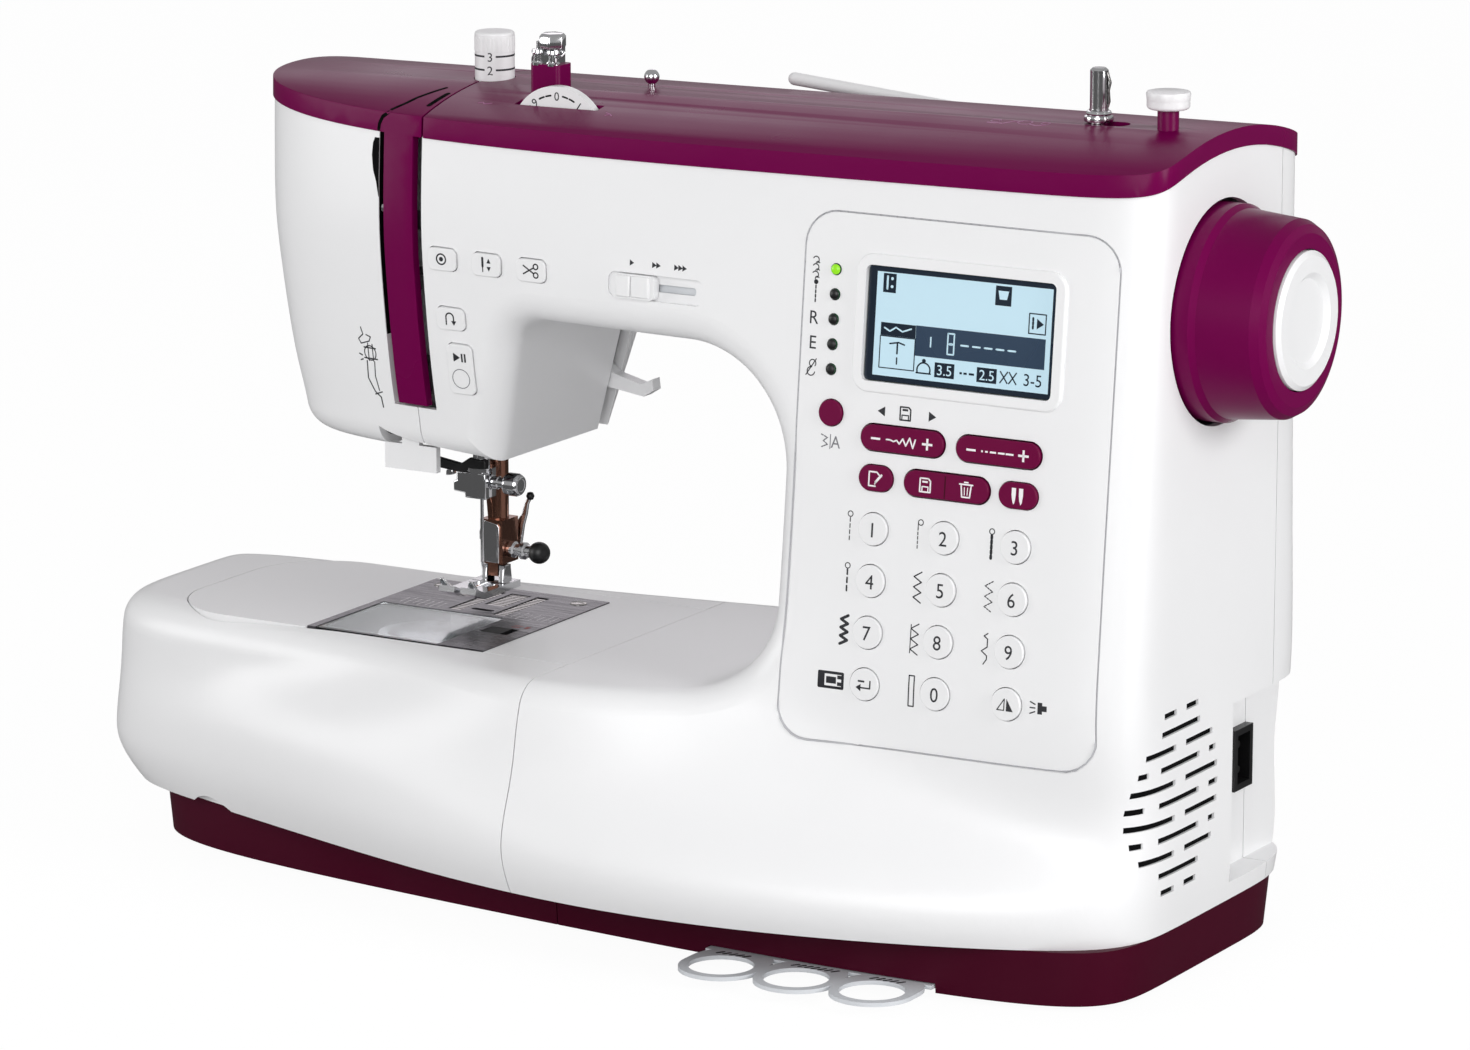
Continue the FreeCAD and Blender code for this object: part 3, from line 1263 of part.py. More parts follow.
def motor():
    """Motor on its cradle with its pulley, and the two belts of the drive."""
    can = rod(MOTOR_RADIUS, V(MOTOR_LEFT, MOTOR_Y, MOTOR_Z), V(MOTOR_RIGHT, MOTOR_Y, MOTOR_Z))
    axle = rod(3, V(DRIVE_PULLEY_X - 1, MOTOR_Y, MOTOR_Z), V(MOTOR_LEFT + 1, MOTOR_Y, MOTOR_Z))
    right = DRIVE_PULLEY_X + DRIVE_PULLEY_WIDTH
    wheel = rod(MOTOR_PULLEY_RADIUS, V(DRIVE_PULLEY_X, MOTOR_Y, MOTOR_Z), V(right, MOTOR_Y, MOTOR_Z))
    floor = FOOT_HEIGHT + PLINTH_FLOOR
    cradle = box(MOTOR_LEFT + 6, MOTOR_RIGHT - 6, MOTOR_Y - 14, MOTOR_Y + 14, floor, MOTOR_Z - 12)
    inset = 1.0
    drive = belt(
        SHAFT_Y, SHAFT_Z, DRIVE_PULLEY_RADIUS, MOTOR_Y, MOTOR_Z, MOTOR_PULLEY_RADIUS,
        DRIVE_PULLEY_X + inset, right - inset,
    )
    timing = belt(
        SHAFT_Y, SHAFT_Z, PULLEY_RADIUS, lower_shaft_y(), LOWER_SHAFT_Z, PULLEY_RADIUS,
        PULLEY_X + inset, PULLEY_X + PULLEY_WIDTH - inset,
    )
    Part.Compound([fused([can, axle, wheel, cradle]), drive, timing]).exportStep("parts/motor.step")


def chassis():
    """Cast frame: arm beam, column post, lower beam, bearings and bar guides."""
    beam_low = ARM_BOTTOM + WALL + BEAM_LIFT
    beam_high = beam_low + BEAM_THICKNESS
    floor = FOOT_HEIGHT + PLINTH_FLOOR
    bearing_top = SHAFT_Z + 9
    adds = [box(BEAM_LEFT, BEAM_RIGHT, BEAM_FRONT, BEAM_BACK, beam_low, beam_high)]
    for x in (HEAD_RIGHT_HIGH, POST_LEFT, BEAM_RIGHT - 12):
        adds.append(box(x, x + 9, SHAFT_Y - 12, SHAFT_Y + 12, beam_low, bearing_top))
    adds.append(box(POST_LEFT, POST_RIGHT, LOWER_BEAM_FRONT + 12, LOWER_BEAM_BACK, floor, beam_high))
    low_top = lower_beam_top()
    low_bottom = low_top - LOWER_BEAM_THICKNESS
    adds.append(box(LOWER_BEAM_LEFT, POST_RIGHT, LOWER_BEAM_FRONT, LOWER_BEAM_BACK, low_bottom, low_top))
    shaft_y = lower_shaft_y()
    for x in (NEEDLE_X + 26, TABLE_SEAM_X + 30):
        adds.append(box(x, x + 9, shaft_y - 10, shaft_y + 10, low_bottom, LOWER_SHAFT_Z + 9))
    adds.append(Part.makeCylinder(8, 8, V(HOOK_X, HOOK_Y, low_top - 1)))
    adds.append(Part.makeCylinder(7, 8, V(NEEDLE_X, FEED_BACK - 9, low_top - 1)))

    bush_top = BUSH_Z + BUSH_HEIGHT
    adds.append(box(NEEDLE_X - 10, NEEDLE_X + 10, NEEDLE_Y - 7.5, BEAM_BACK - 8, BUSH_Z, bush_top))
    lever_front = LEVER_Y - LEVER_WIDTH / 2 - 1.5
    adds.append(box(NEEDLE_X - 12, HEAD_RIGHT_LOW - 0.5, BEAM_BACK - 8.5, lever_front, BUSH_Z, beam_high))
    tab_back = TAB_Y + TAB_THICKNESS / 2 + SLIDE_GAP
    adds.append(box(TAB_LEFT + 5, NEEDLE_X - 9, tab_back, NEEDLE_Y, BUSH_Z, bush_top))
    pivot_x = STRIP_LEFT + 0.8
    adds.append(box(pivot_x, pivot_x + 7, TAKE_UP_Y - 8, TAKE_UP_Y + 8, beam_low, TAKE_UP_Z + 8))
    dial_back = TENSION_Y + TENSION_THICKNESS / 2 + SLIDE_GAP
    adds.append(box(TENSION_X - 5, TENSION_X + 5, dial_back, dial_back + 5, beam_low, tension_z() + 6))

    crank = NEEDLE_X + CRANK_OFFSET
    cuts = [rod(SHAFT_RADIUS + SHAFT_GAP, V(crank, SHAFT_Y, SHAFT_Z), V(300, SHAFT_Y, SHAFT_Z))]
    crank_end = crank + CRANK_THICKNESS + CRANK_GAP
    cuts.append(
        rod(CRANK_RADIUS + CRANK_GAP, V(crank - CRANK_GAP, SHAFT_Y, SHAFT_Z), V(crank_end, SHAFT_Y, SHAFT_Z))
    )
    cuts.append(
        rod(LOWER_SHAFT_RADIUS + SHAFT_GAP, V(-150, shaft_y, LOWER_SHAFT_Z), V(200, shaft_y, LOWER_SHAFT_Z))
    )
    cuts.append(rod(4 + SHAFT_GAP, V(HOOK_X, HOOK_Y, 0), V(HOOK_X, HOOK_Y, HOOK_BOTTOM)))
    cuts.append(rod(3 + SHAFT_GAP, V(NEEDLE_X, FEED_BACK - 9, 0), V(NEEDLE_X, FEED_BACK - 9, BED_TOP)))
    low = HEAD_BOTTOM
    cuts.append(rod(NEEDLE_BAR_RADIUS + SHAFT_GAP, V(NEEDLE_X, NEEDLE_Y, low), V(NEEDLE_X, NEEDLE_Y, 300)))
    cuts.append(rod(PRESSER_BAR_RADIUS + SHAFT_GAP, V(NEEDLE_X, PRESSER_Y, low), V(NEEDLE_X, PRESSER_Y, 300)))
    pin = LEVER_PIN_RADIUS + SHAFT_GAP
    cuts.append(rod(pin, V(LEVER_PIVOT_X, 0, LEVER_PIVOT_Z), V(LEVER_PIVOT_X, 80, LEVER_PIVOT_Z)))
    cuts.append(rod(3 + SHAFT_GAP, V(-130, TAKE_UP_Y, TAKE_UP_Z), V(NEEDLE_X - 7, TAKE_UP_Y, TAKE_UP_Z)))
    cuts.append(rod(3 + SHAFT_GAP, V(TENSION_X, -40, tension_z()), V(TENSION_X, SHAFT_Y - 14, tension_z())))
    right = DRIVE_PULLEY_X + DRIVE_PULLEY_WIDTH + 3
    cuts.append(box(PULLEY_X - 3, right, BEAM_FRONT + 3, BEAM_BACK - 3, beam_low - 1, beam_high + 1))
    frame = adds[0].multiFuse(adds[1:]).removeSplitter().cut(cuts)
    frame.exportStep("parts/chassis.step")


def handwheel():
    """Handwheel and its pressed-in cap on the main shaft."""
    inner = WHEEL_INNER_X
    outer = WHEEL_OUTER_X
    seat = outer - WHEEL_CAP_DEPTH
    big = WHEEL_RADIUS
    face = WHEEL_FACE_RADIUS
    cap = WHEEL_CAP_RADIUS
    long = outer - inner
    profile = [
        (0, SHAFT_RADIUS), (0, big - 2), (2, big), (11, big), (13, big - 1.4),
        (long - 4, face + 0.4), (long - 1.2, face - 1.2), (long, face - 4), (long, cap + 0.5),
        (seat - inner, cap + 0.5), (seat - inner, SHAFT_RADIUS),
    ]
    wheel = turned(profile, V(inner, SHAFT_Y, SHAFT_Z), V(1, 0, 0))
    wheel.exportStep("parts/handwheel.step")
    deep = WHEEL_CAP_DEPTH + WHEEL_CAP_PROUD
    lid = [
        (0, 0), (0, cap), (deep - 1.2, cap), (deep, cap - 1.6),
        (deep, cap - 7), (deep - 1.6, cap - 9), (deep - 1.6, 0),
    ]
    turned(lid, V(seat, SHAFT_Y, SHAFT_Z), V(1, 0, 0)).exportStep("parts/handwheel_cap.step")


def needle_group():
    """Needle bar with its clamp and screw, and the needle."""
    at = V(NEEDLE_X, NEEDLE_Y, 0)
    bar = rod(NEEDLE_BAR_RADIUS, at + V(0, 0, CLAMP_BOTTOM), at + V(0, 0, BAR_TOP))
    clamp = rod(CLAMP_RADIUS, at + V(0, 0, CLAMP_BOTTOM), at + V(0, 0, CLAMP_TOP))
    middle = (CLAMP_BOTTOM + CLAMP_TOP) / 2
    screw = rod(1.5, at + V(CLAMP_RADIUS - 1, 0, middle), at + V(CLAMP_RADIUS + 7, 0, middle))
    knob = rod(3.2, at + V(CLAMP_RADIUS + 5, 0, middle), at + V(CLAMP_RADIUS + 11, 0, middle))
    bore = rod(SHANK_RADIUS, at + V(0, 0, CLAMP_BOTTOM - 1), at + V(0, 0, SHANK_TOP))
    fused([bar, clamp, screw, knob]).cut(bore).exportStep("parts/needle_bar.step")
    shank = rod(SHANK_RADIUS, at + V(0, 0, CLAMP_BOTTOM - 1), at + V(0, 0, SHANK_TOP))
    blade = rod(NEEDLE_RADIUS, at + V(0, 0, NEEDLE_TIP_Z + 4), at + V(0, 0, CLAMP_BOTTOM))
    tip = Part.makeCone(0.08, NEEDLE_RADIUS, 4, at + V(0, 0, NEEDLE_TIP_Z))
    fused([shank, blade, tip]).exportStep("parts/needle.step")


def presser_group():
    """Presser bar with its foot holder and thumb screw, and the hinged foot."""
    at = V(NEEDLE_X, PRESSER_Y, 0)
    fork_low = FOOT_PIVOT_Z + 2.5
    bar = rod(PRESSER_BAR_RADIUS, at + V(0, 0, fork_low + 4), at + V(0, 0, BAR_TOP))
    front = NEEDLE_Y + CLAMP_RADIUS + 0.8
    holder = box(NEEDLE_X - 4.5, NEEDLE_X + 4.5, front, PRESSER_Y + 5.5, fork_low, HOLDER_TOP)
    screw_z = (fork_low + HOLDER_TOP) / 2 - 3
    screw = rod(1.8, V(NEEDLE_X + 4, PRESSER_Y, screw_z), V(NEEDLE_X + 14, PRESSER_Y, screw_z))
    ball = Part.makeSphere(3.6, V(NEEDLE_X + 16.5, PRESSER_Y, screw_z))
    tongue = box(
        NEEDLE_X - 2, NEEDLE_X + 2, FOOT_PIVOT_Y - 2.4, FOOT_PIVOT_Y + 2.4, FOOT_PIVOT_Z - 2, fork_low + 1,
    )
    eye = rod(
        1.2 + SHAFT_GAP, V(NEEDLE_X - 9, FOOT_PIVOT_Y, FOOT_PIVOT_Z),
        V(NEEDLE_X + 9, FOOT_PIVOT_Y, FOOT_PIVOT_Z),
    )
    fused([bar, holder, screw, ball, tongue]).cut(eye).exportStep("parts/presser_bar.step")

    half = FOOT_WIDTH / 2
    top = FOOT_SOLE_Z + FOOT_PLATE
    sole = box(NEEDLE_X - half, NEEDLE_X + half, FOOT_TOE_Y + 6, FOOT_HEEL_Y, FOOT_SOLE_Z, top)
    toe_face = Part.Face(Part.makePolygon([
        V(NEEDLE_X - half, FOOT_TOE_Y + 6, FOOT_SOLE_Z), V(NEEDLE_X - half, FOOT_TOE_Y, FOOT_SOLE_Z + 2.6),
        V(NEEDLE_X - half, FOOT_TOE_Y + 0.6, FOOT_SOLE_Z + 4.6), V(NEEDLE_X - half, FOOT_TOE_Y + 6, top),
        V(NEEDLE_X - half, FOOT_TOE_Y + 6, FOOT_SOLE_Z),
    ]))
    toe = toe_face.extrude(V(FOOT_WIDTH, 0, 0))
    lugs = []
    for side in (-1, 1):
        near = NEEDLE_X + side * 2.4
        far = NEEDLE_X + side * 4.4
        lugs.append(
            box(
                min(near, far), max(near, far), FOOT_PIVOT_Y - 2.2,
                FOOT_PIVOT_Y + 2.2, FOOT_SOLE_Z + 1, FOOT_PIVOT_Z + 1.8,
            )
        )
    pin = rod(
        1.2, V(NEEDLE_X - 4.4, FOOT_PIVOT_Y, FOOT_PIVOT_Z), V(NEEDLE_X + 4.4, FOOT_PIVOT_Y, FOOT_PIVOT_Z),
    )
    window = plate(9, 6, 2, FOOT_SOLE_Z - 1, FOOT_SOLE_Z + 9)
    window.translate(V(NEEDLE_X, NEEDLE_Y, 0))
    throat_slot = box(
        NEEDLE_X - 1.2, NEEDLE_X + 1.2, FOOT_TOE_Y - 1, NEEDLE_Y, FOOT_SOLE_Z - 1, FOOT_SOLE_Z + 9,
    )
    foot = fused([sole, toe] + lugs + [pin]).cut([window, throat_slot])
    foot.exportStep("parts/presser_foot.step")


def levers():
    """Presser lifter, take-up lever and the pull-down tab under the head."""
    y0 = LEVER_Y - LEVER_WIDTH / 2
    y1 = LEVER_Y + LEVER_WIDTH / 2
    hub = rod(6, V(LEVER_PIVOT_X, y0, LEVER_PIVOT_Z), V(LEVER_PIVOT_X, y1, LEVER_PIVOT_Z))
    points = [
        V(LEVER_PIVOT_X, y0, LEVER_PIVOT_Z + 3.5), V(LEVER_PIVOT_X - 2, y0, LEVER_PIVOT_Z - 4),
        V(LEVER_PIVOT_X + 12, y0, LEVER_TIP_Z), V(LEVER_TIP_X - 4, y0, LEVER_TIP_Z - 2),
        V(LEVER_TIP_X, y0, LEVER_TIP_Z + 0.5), V(LEVER_TIP_X - 0.5, y0, LEVER_TIP_Z + 4.5),
        V(LEVER_TIP_X - 5, y0, LEVER_TIP_Z + 2.2), V(LEVER_PIVOT_X + 14, y0, LEVER_TIP_Z + 5),
    ]
    arm = Part.Face(Part.makePolygon(points + [points[0]])).extrude(V(0, LEVER_WIDTH, 0))
    pin = rod(
        LEVER_PIN_RADIUS, V(LEVER_PIVOT_X, BEAM_BACK - 7, LEVER_PIVOT_Z),
        V(LEVER_PIVOT_X, y0 + 1, LEVER_PIVOT_Z),
    )
    fused([hub, arm, pin]).exportStep("parts/presser_lever.step")

    mid = STRIP_LEFT - STRIP_SLOT / 2
    x0 = mid - TAKE_UP_THICKNESS / 2
    x1 = mid + TAKE_UP_THICKNESS / 2
    root = V(x0, TAKE_UP_Y, TAKE_UP_Z)
    eye = V(x0, TAKE_UP_TIP_Y, TAKE_UP_TIP_Z)
    along = (eye - root).normalize()
    side = V(0, -along.z, along.y)
    corners = [root + side * 4, eye + side * 2.4, eye - side * 2.4, root - side * 4]
    blade = Part.Face(Part.makePolygon(corners + [corners[0]])).extrude(V(TAKE_UP_THICKNESS, 0, 0))
    boss = rod(5, root, root + V(TAKE_UP_THICKNESS, 0, 0))
    end = rod(2.4, eye, eye + V(TAKE_UP_THICKNESS, 0, 0))
    hole = rod(1.1, eye - V(5, 0, 0), eye + V(5, 0, 0))
    axle = rod(3, V(x1 - 0.5, TAKE_UP_Y, TAKE_UP_Z), V(NEEDLE_X - 9, TAKE_UP_Y, TAKE_UP_Z))
    fused([blade, boss, end, axle]).cut(hole).exportStep("parts/take_up_lever.step")

    half = TAB_THICKNESS / 2
    tab = box(TAB_LEFT, TAB_RIGHT, TAB_Y - half, TAB_Y + half, TAB_BOTTOM, TAB_TOP)
    stem = box(TAB_LEFT + 7, TAB_LEFT + 14, TAB_Y - half, TAB_Y + half, TAB_TOP - 1, ARM_BOTTOM - 3)
    fused([tab, stem]).exportStep("parts/threader_lever.step")


def power_inlet():
    """Two-pin mains inlet in the recess floor."""
    y0 = INLET_Y - INLET_WIDTH / 2
    y1 = INLET_Y + INLET_WIDTH / 2
    z0 = INLET_Z - INLET_HEIGHT / 2
    z1 = INLET_Z + INLET_HEIGHT / 2
    inner = RECESS_FLOOR_X - 3 * WALL
    outer = RECESS_FLOOR_X + INLET_PROUD
    form = box(inner, outer, y0, y1, z0, z1)
    rim = 2.2
    well = box(inner + 4, outer + 1, y0 + rim, y1 - rim, z0 + rim, z1 - rim)
    solids = [form.cut(well)]
    for side in (-0.5, 0.5):
        z = INLET_Z + side * INLET_PIN_PITCH
        solids.append(rod(INLET_PIN_RADIUS, V(inner + 3, INLET_Y, z), V(outer - 2, INLET_Y, z)))
    fused(solids).exportStep("parts/power_inlet.step")


outer_form = covers()
buttons(outer_form)
speed_slider(outer_form)
display_board()
top_covers(outer_form)
top_fittings()
base()
pattern_card()
free_arm()
needle_plate()
feed_dog()
hook_group()
shafts()
motor()
chassis()
handwheel()
needle_group()
presser_group()
levers()
power_inlet()
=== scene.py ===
import json
import logging
import math
from dataclasses import dataclass, field, replace
from enum import Enum
from typing import Any, Callable, Sequence

import bmesh
import bpy
from mathutils import Matrix, Vector
from mathutils.bvhtree import BVHTree


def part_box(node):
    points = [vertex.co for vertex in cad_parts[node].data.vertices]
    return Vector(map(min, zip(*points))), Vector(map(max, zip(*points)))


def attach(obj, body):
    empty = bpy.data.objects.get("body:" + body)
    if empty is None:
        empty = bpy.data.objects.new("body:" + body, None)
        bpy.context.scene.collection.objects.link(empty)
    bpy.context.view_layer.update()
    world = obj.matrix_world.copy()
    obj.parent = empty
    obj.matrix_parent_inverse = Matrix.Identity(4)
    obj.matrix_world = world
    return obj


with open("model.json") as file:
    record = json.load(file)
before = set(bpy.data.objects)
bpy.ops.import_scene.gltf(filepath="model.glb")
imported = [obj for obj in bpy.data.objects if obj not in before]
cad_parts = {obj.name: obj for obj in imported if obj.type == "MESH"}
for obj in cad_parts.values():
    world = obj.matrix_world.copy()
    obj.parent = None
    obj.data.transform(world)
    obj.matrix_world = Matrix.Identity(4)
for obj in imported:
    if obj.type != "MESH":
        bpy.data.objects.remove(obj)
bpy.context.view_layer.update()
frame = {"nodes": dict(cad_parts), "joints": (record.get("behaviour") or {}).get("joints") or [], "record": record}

LOG = logging.getLogger("sewing_machine")
MM = 0.001

Point2 = tuple[float, float]
Point3 = tuple[float, float, float]
Polygon = list[Point2]
Placer = Callable[[float, float, float], Vector]

RIGHT = Vector((1, 0, 0))
REAR = Vector((0, 1, 0))
UP = Vector((0, 0, 1))
WHITE = (1.0, 1.0, 1.0, 1.0)
# Where rays start, in metres: clear of the part above it, in front of it and at its right.
RAY_TOP = 0.5
RAY_FRONT = -0.4
RAY_SIDE = 0.4
# How far ink stands over a surface and reaches into it, in millimetres.
INK_RISE = 0.05
INK_SINK = 0.04
# Angles in degrees over which an edge is rounded, and over which a rounded piece keeps it sharp.
BEVEL_ANGLE = 40.0
SHADE_ANGLE = 50.0
# Noise of the finishes: broad patches, the part of the noise that is used, swing of the gloss.
PATCH_SCALE = 25.0
NOISE_LOW, NOISE_HIGH = 0.3, 0.7
GLOSS_SWING = 3
LEAST_ROUGHNESS = 0.02
BRUSH_STRETCH = (0.04, 1.0, 1.0)
BUMP_STRENGTH = 0.5


class Grain(Enum):
    """How a surface was made, which decides the pattern of its finish."""

    MOULDED = "moulded"
    POLISHED = "polished"
    BRUSHED = "brushed"
    CLEAR = "clear"
    PRINTED = "printed"


def linear(colour: str) -> tuple[float, float, float, float]:
    """Turns an sRGB hex colour into linear light.

    Args:
        colour: Six hex digits after a hash sign.

    Returns:
        Linear red, green, blue and an alpha of one.
    """
    parts = [int(colour[i:i + 2], 16) / 255 for i in (1, 3, 5)]
    red, green, blue = (c / 12.92 if c <= 0.04045 else ((c + 0.055) / 1.055) ** 2.4 for c in parts)
    return red, green, blue, 1.0


def add_node(
    tree: bpy.types.NodeTree, kind: str, inputs: dict[Any, Any] | None = None, **settings: Any
) -> bpy.types.Node:
    """Adds one node with its settings, values and links.

    Args:
        tree: Tree that gets the node.
        kind: Blender's name of the node type.
        inputs: Socket name or number to a value, or to the output socket that feeds it.
        settings: Properties set on the node.

    Returns:
        The new node.
    """
    node = tree.nodes.new(kind)
    for key, value in settings.items():
        setattr(node, key, value)
    for key, value in (inputs or {}).items():
        if isinstance(value, bpy.types.NodeSocket):
            tree.links.new(value, node.inputs[key])
        else:
            node.inputs[key].default_value = value
    return node


def combine(tree: bpy.types.NodeTree, operation: str, first: Any, second: Any) -> bpy.types.NodeSocket:
    """Joins two values or sockets with one Math node and returns its output."""
    return add_node(tree, "ShaderNodeMath", {0: first, 1: second}, operation=operation).outputs[0]


def blend(tree: bpy.types.NodeTree, share: Any, first: Any, second: Any) -> bpy.types.NodeSocket:
    """Mixes two colours by a share and returns the output."""
    colours = {"Factor": share, 6: first, 7: second}
    return add_node(tree, "ShaderNodeMix", colours, data_type="RGBA").outputs[2]


def between(
    tree: bpy.types.NodeTree, share: Any, low: float, high: float, start: float = 0.0, end: float = 1.0
) -> bpy.types.NodeSocket:
    """Maps a share between start and end to a level from low to high."""
    levels = {"Value": share, "From Min": start, "From Max": end, "To Min": low, "To Max": high}
    return add_node(tree, "ShaderNodeMapRange", levels).outputs["Result"]


@dataclass(frozen=True)
class Finish:
    """One real finish: its colour, gloss and the fine pattern that its making leaves."""

    name: str
    colour: str
    roughness: float
    grain: Grain = Grain.MOULDED
    metallic: float = 0.0
    ior: float = 1.5
    grain_mm: float = 0.8
    depth_mm: float = 0.004
    uneven: float = 0.06
    specular: float = 0.5
    glow: float = 0.0
    rim_colour: str = ""
    rim_mm: float = 0.0

    def build(self) -> bpy.types.Material:
        """Makes the material once and returns it."""
        found = bpy.data.materials.get(self.name)
        if found is not None:
            return found
        material = bpy.data.materials.new(self.name)
        material.use_nodes = True
        tree = material.node_tree
        tree.nodes.clear()
        place = add_node(tree, "ShaderNodeTexCoord").outputs["Object"]
        if self.grain is Grain.BRUSHED:
            stretch = {"Vector": place, "Scale": BRUSH_STRETCH}
            place = add_node(tree, "ShaderNodeMapping", stretch).outputs["Vector"]
        grains = {"Vector": place, "Scale": 1000 / self.grain_mm, "Detail": 3.0}
        fine_noise = add_node(tree, "ShaderNodeTexNoise", grains).outputs["Fac"]
        patches = {"Vector": place, "Scale": PATCH_SCALE, "Detail": 2.0}
        broad_noise = add_node(tree, "ShaderNodeTexNoise", patches).outputs["Fac"]
        source = fine_noise if self.grain is Grain.BRUSHED else broad_noise
        low = max(LEAST_ROUGHNESS, self.roughness * (1 - self.uneven * GLOSS_SWING))
        high = min(1.0, self.roughness * (1 + self.uneven * GLOSS_SWING))
        gloss = between(tree, source, low, high, NOISE_LOW, NOISE_HIGH)
        dark = linear(self.colour)
        pale = tuple(min(1.0, c * (1 + self.uneven)) for c in dark[:3]) + (1.0,)
        colour = blend(tree, source, dark, pale)
        if self.rim_colour:
            height = add_node(tree, "ShaderNodeSeparateXYZ", {0: place}).outputs["Z"]
            above = combine(tree, "GREATER_THAN", height, self.rim_mm * MM)
            colour = blend(tree, above, colour, linear(self.rim_colour))
        relief = {"Height": fine_noise, "Strength": BUMP_STRENGTH, "Distance": self.depth_mm * MM}
        looks = {
            "Base Color": colour,
            "Roughness": gloss,
            "Normal": add_node(tree, "ShaderNodeBump", relief).outputs["Normal"],
            "Metallic": self.metallic,
            "Specular IOR Level": self.specular,
            "Emission Strength": self.glow,
            "Emission Color": dark,
        }
        shader = add_node(tree, "ShaderNodeBsdfPrincipled", looks)
        if not self.metallic:
            shader.inputs["IOR"].default_value = self.ior
        if self.grain is Grain.CLEAR:
            shader.inputs["Transmission Weight"].default_value = 1.0
        add_node(tree, "ShaderNodeOutputMaterial", {"Surface": shader.outputs["BSDF"]})
        return material


# ABS moulded in a fine satin tool: a soft sheen with an even, slightly grained skin.
WHITE_SHELL = Finish("abs_white_satin_moulded", "#EFEFF0", 0.34, grain_mm=0.7, uneven=0.02)
# The same ABS on the small keys, a little glossier from handling.
WHITE_KEY = Finish("abs_white_key_moulded", "#EDEDEE", 0.3, grain_mm=0.6, uneven=0.02)
# ABS under a thin lacquer: deep magenta with low, even highlights.
PURPLE_GLOSS = Finish(
    "abs_purple_lacquered", "#6A0044", 0.3, grain_mm=0.9, depth_mm=0.002, uneven=0.04, specular=0.1
)
# ABS moulded matte for the base, darker and softer than the top.
PURPLE_BASE = Finish("abs_purple_base_moulded", "#42001C", 0.45, grain_mm=0.7, uneven=0.05, specular=0.15)
# The same base under the slide-off table, with a white rim that tucks into the white skin.
PURPLE_TUCKED = replace(
    PURPLE_BASE, name="abs_purple_base_white_rim", rim_colour=WHITE_SHELL.colour, rim_mm=19.2
)
# The ABS of the purple keys, rougher than the top so that they stay quiet.
PURPLE_KEY = Finish("abs_purple_key_moulded", "#690039", 0.4, grain_mm=0.6, uneven=0.05, specular=0.15)
# Stainless plate ground along one way: dark grey with long fine lines.
PLATE_STEEL = Finish(
    "stainless_plate_brushed", "#6E6C70", 0.34, Grain.BRUSHED, 1.0, grain_mm=0.5, uneven=0.18
)
# Nickel-chrome plating: mirror bright with faint smudges.
CHROME = Finish(
    "steel_chrome_plated", "#D9D9DB", 0.1, Grain.POLISHED, 1.0, grain_mm=3.0, depth_mm=0.001, uneven=0.2
)
# Ground steel rod: bright, drawn lines round the bar.
STEEL = Finish("steel_ground", "#B9B6B4", 0.22, Grain.BRUSHED, 1.0, grain_mm=0.6, uneven=0.15)
# Browned steel of the presser bar: polished, with warm brown reflections.
BROWNED = replace(CHROME, name="steel_presser_bar_browned", colour="#8A6252", roughness=0.24, uneven=0.1)
# Cast aluminium of the hidden frame: grey and grainy.
CAST = Finish("aluminium_cast", "#8F9092", 0.6, metallic=1.0, grain_mm=1.2, depth_mm=0.03, uneven=0.1)
# Black nylon and ABS trim: a dull, even black.
BLACK = Finish("nylon_black_moulded", "#121213", 0.42, grain_mm=0.6, uneven=0.1)
# Painted shade: a matte black sheet laid in slots and grooves, where only shade falls.
SLOT_SHADE = Finish("painted_slot_shade_black", "#0B0B0C", 0.95, grain_mm=0.5, uneven=0.2, specular=0.05)
# Painted motor can: nearly black with a half sheen.
MOTOR_PAINT = Finish("steel_black_painted", "#26262A", 0.5, grain_mm=0.8, uneven=0.1)
# Pale grey polystyrene sheet of the pull-out card: flat and slightly satin.
CARD = Finish("polystyrene_grey_sheet", "#D5D8DC", 0.4, grain_mm=1.0, uneven=0.05)
# Clear polycarbonate lid and bobbin: sharp reflections, and the plate shows through.
CLEAR = Finish("polycarbonate_clear", "#E8EDF0", 0.06, Grain.CLEAR, ior=1.58, grain_mm=4.0, depth_mm=0.001)
# Screen printing inks: thin, matte, slightly uneven.
INK_DARK = Finish("ink_black_screen_printed", "#26262B", 0.6, Grain.PRINTED, uneven=0.15)
INK_GREY = Finish("ink_grey_screen_printed", "#77777C", 0.6, Grain.PRINTED, uneven=0.15)
INK_WHITE = Finish("ink_white_screen_printed", "#F1EEF0", 0.55, Grain.PRINTED, uneven=0.05)
INK_RED = Finish("ink_red_screen_printed", "#8E3A3A", 0.55, Grain.PRINTED, uneven=0.1)
INK_FAINT = Finish("ink_lilac_screen_printed", "#A86A94", 0.55, Grain.PRINTED, uneven=0.1)
# Painted shade in the panel groove: a grey only just darker than the white skin, as a shadow line is.
GROOVE_SHADE = Finish("painted_groove_shade_grey", "#B4B4B8", 0.6, Grain.PRINTED, uneven=0.1)
# Liquid-crystal glass lit from behind, its segments and its dark frame.
LCD_GLASS = Finish("lcd_glass_backlit", "#BFDCE9", 0.2, Grain.PRINTED, uneven=0.02, glow=0.12)
LCD_DARK = Finish("lcd_segment_dark", "#2C3F55", 0.25, Grain.PRINTED, uneven=0.08)
LCD_FRAME = Finish("lcd_frame_navy", "#12202F", 0.25, Grain.PRINTED, uneven=0.1)
# Lit indicator lens: glows softly over its whole face.
LED_GREEN = Finish("acrylic_green_lit", "#7FC41C", 0.25, Grain.PRINTED, glow=0.5)
# Green circuit board: dull, hidden behind the display.
BOARD = Finish("fibreglass_board_green", "#1E5B35", 0.5, grain_mm=1.0, uneven=0.1)


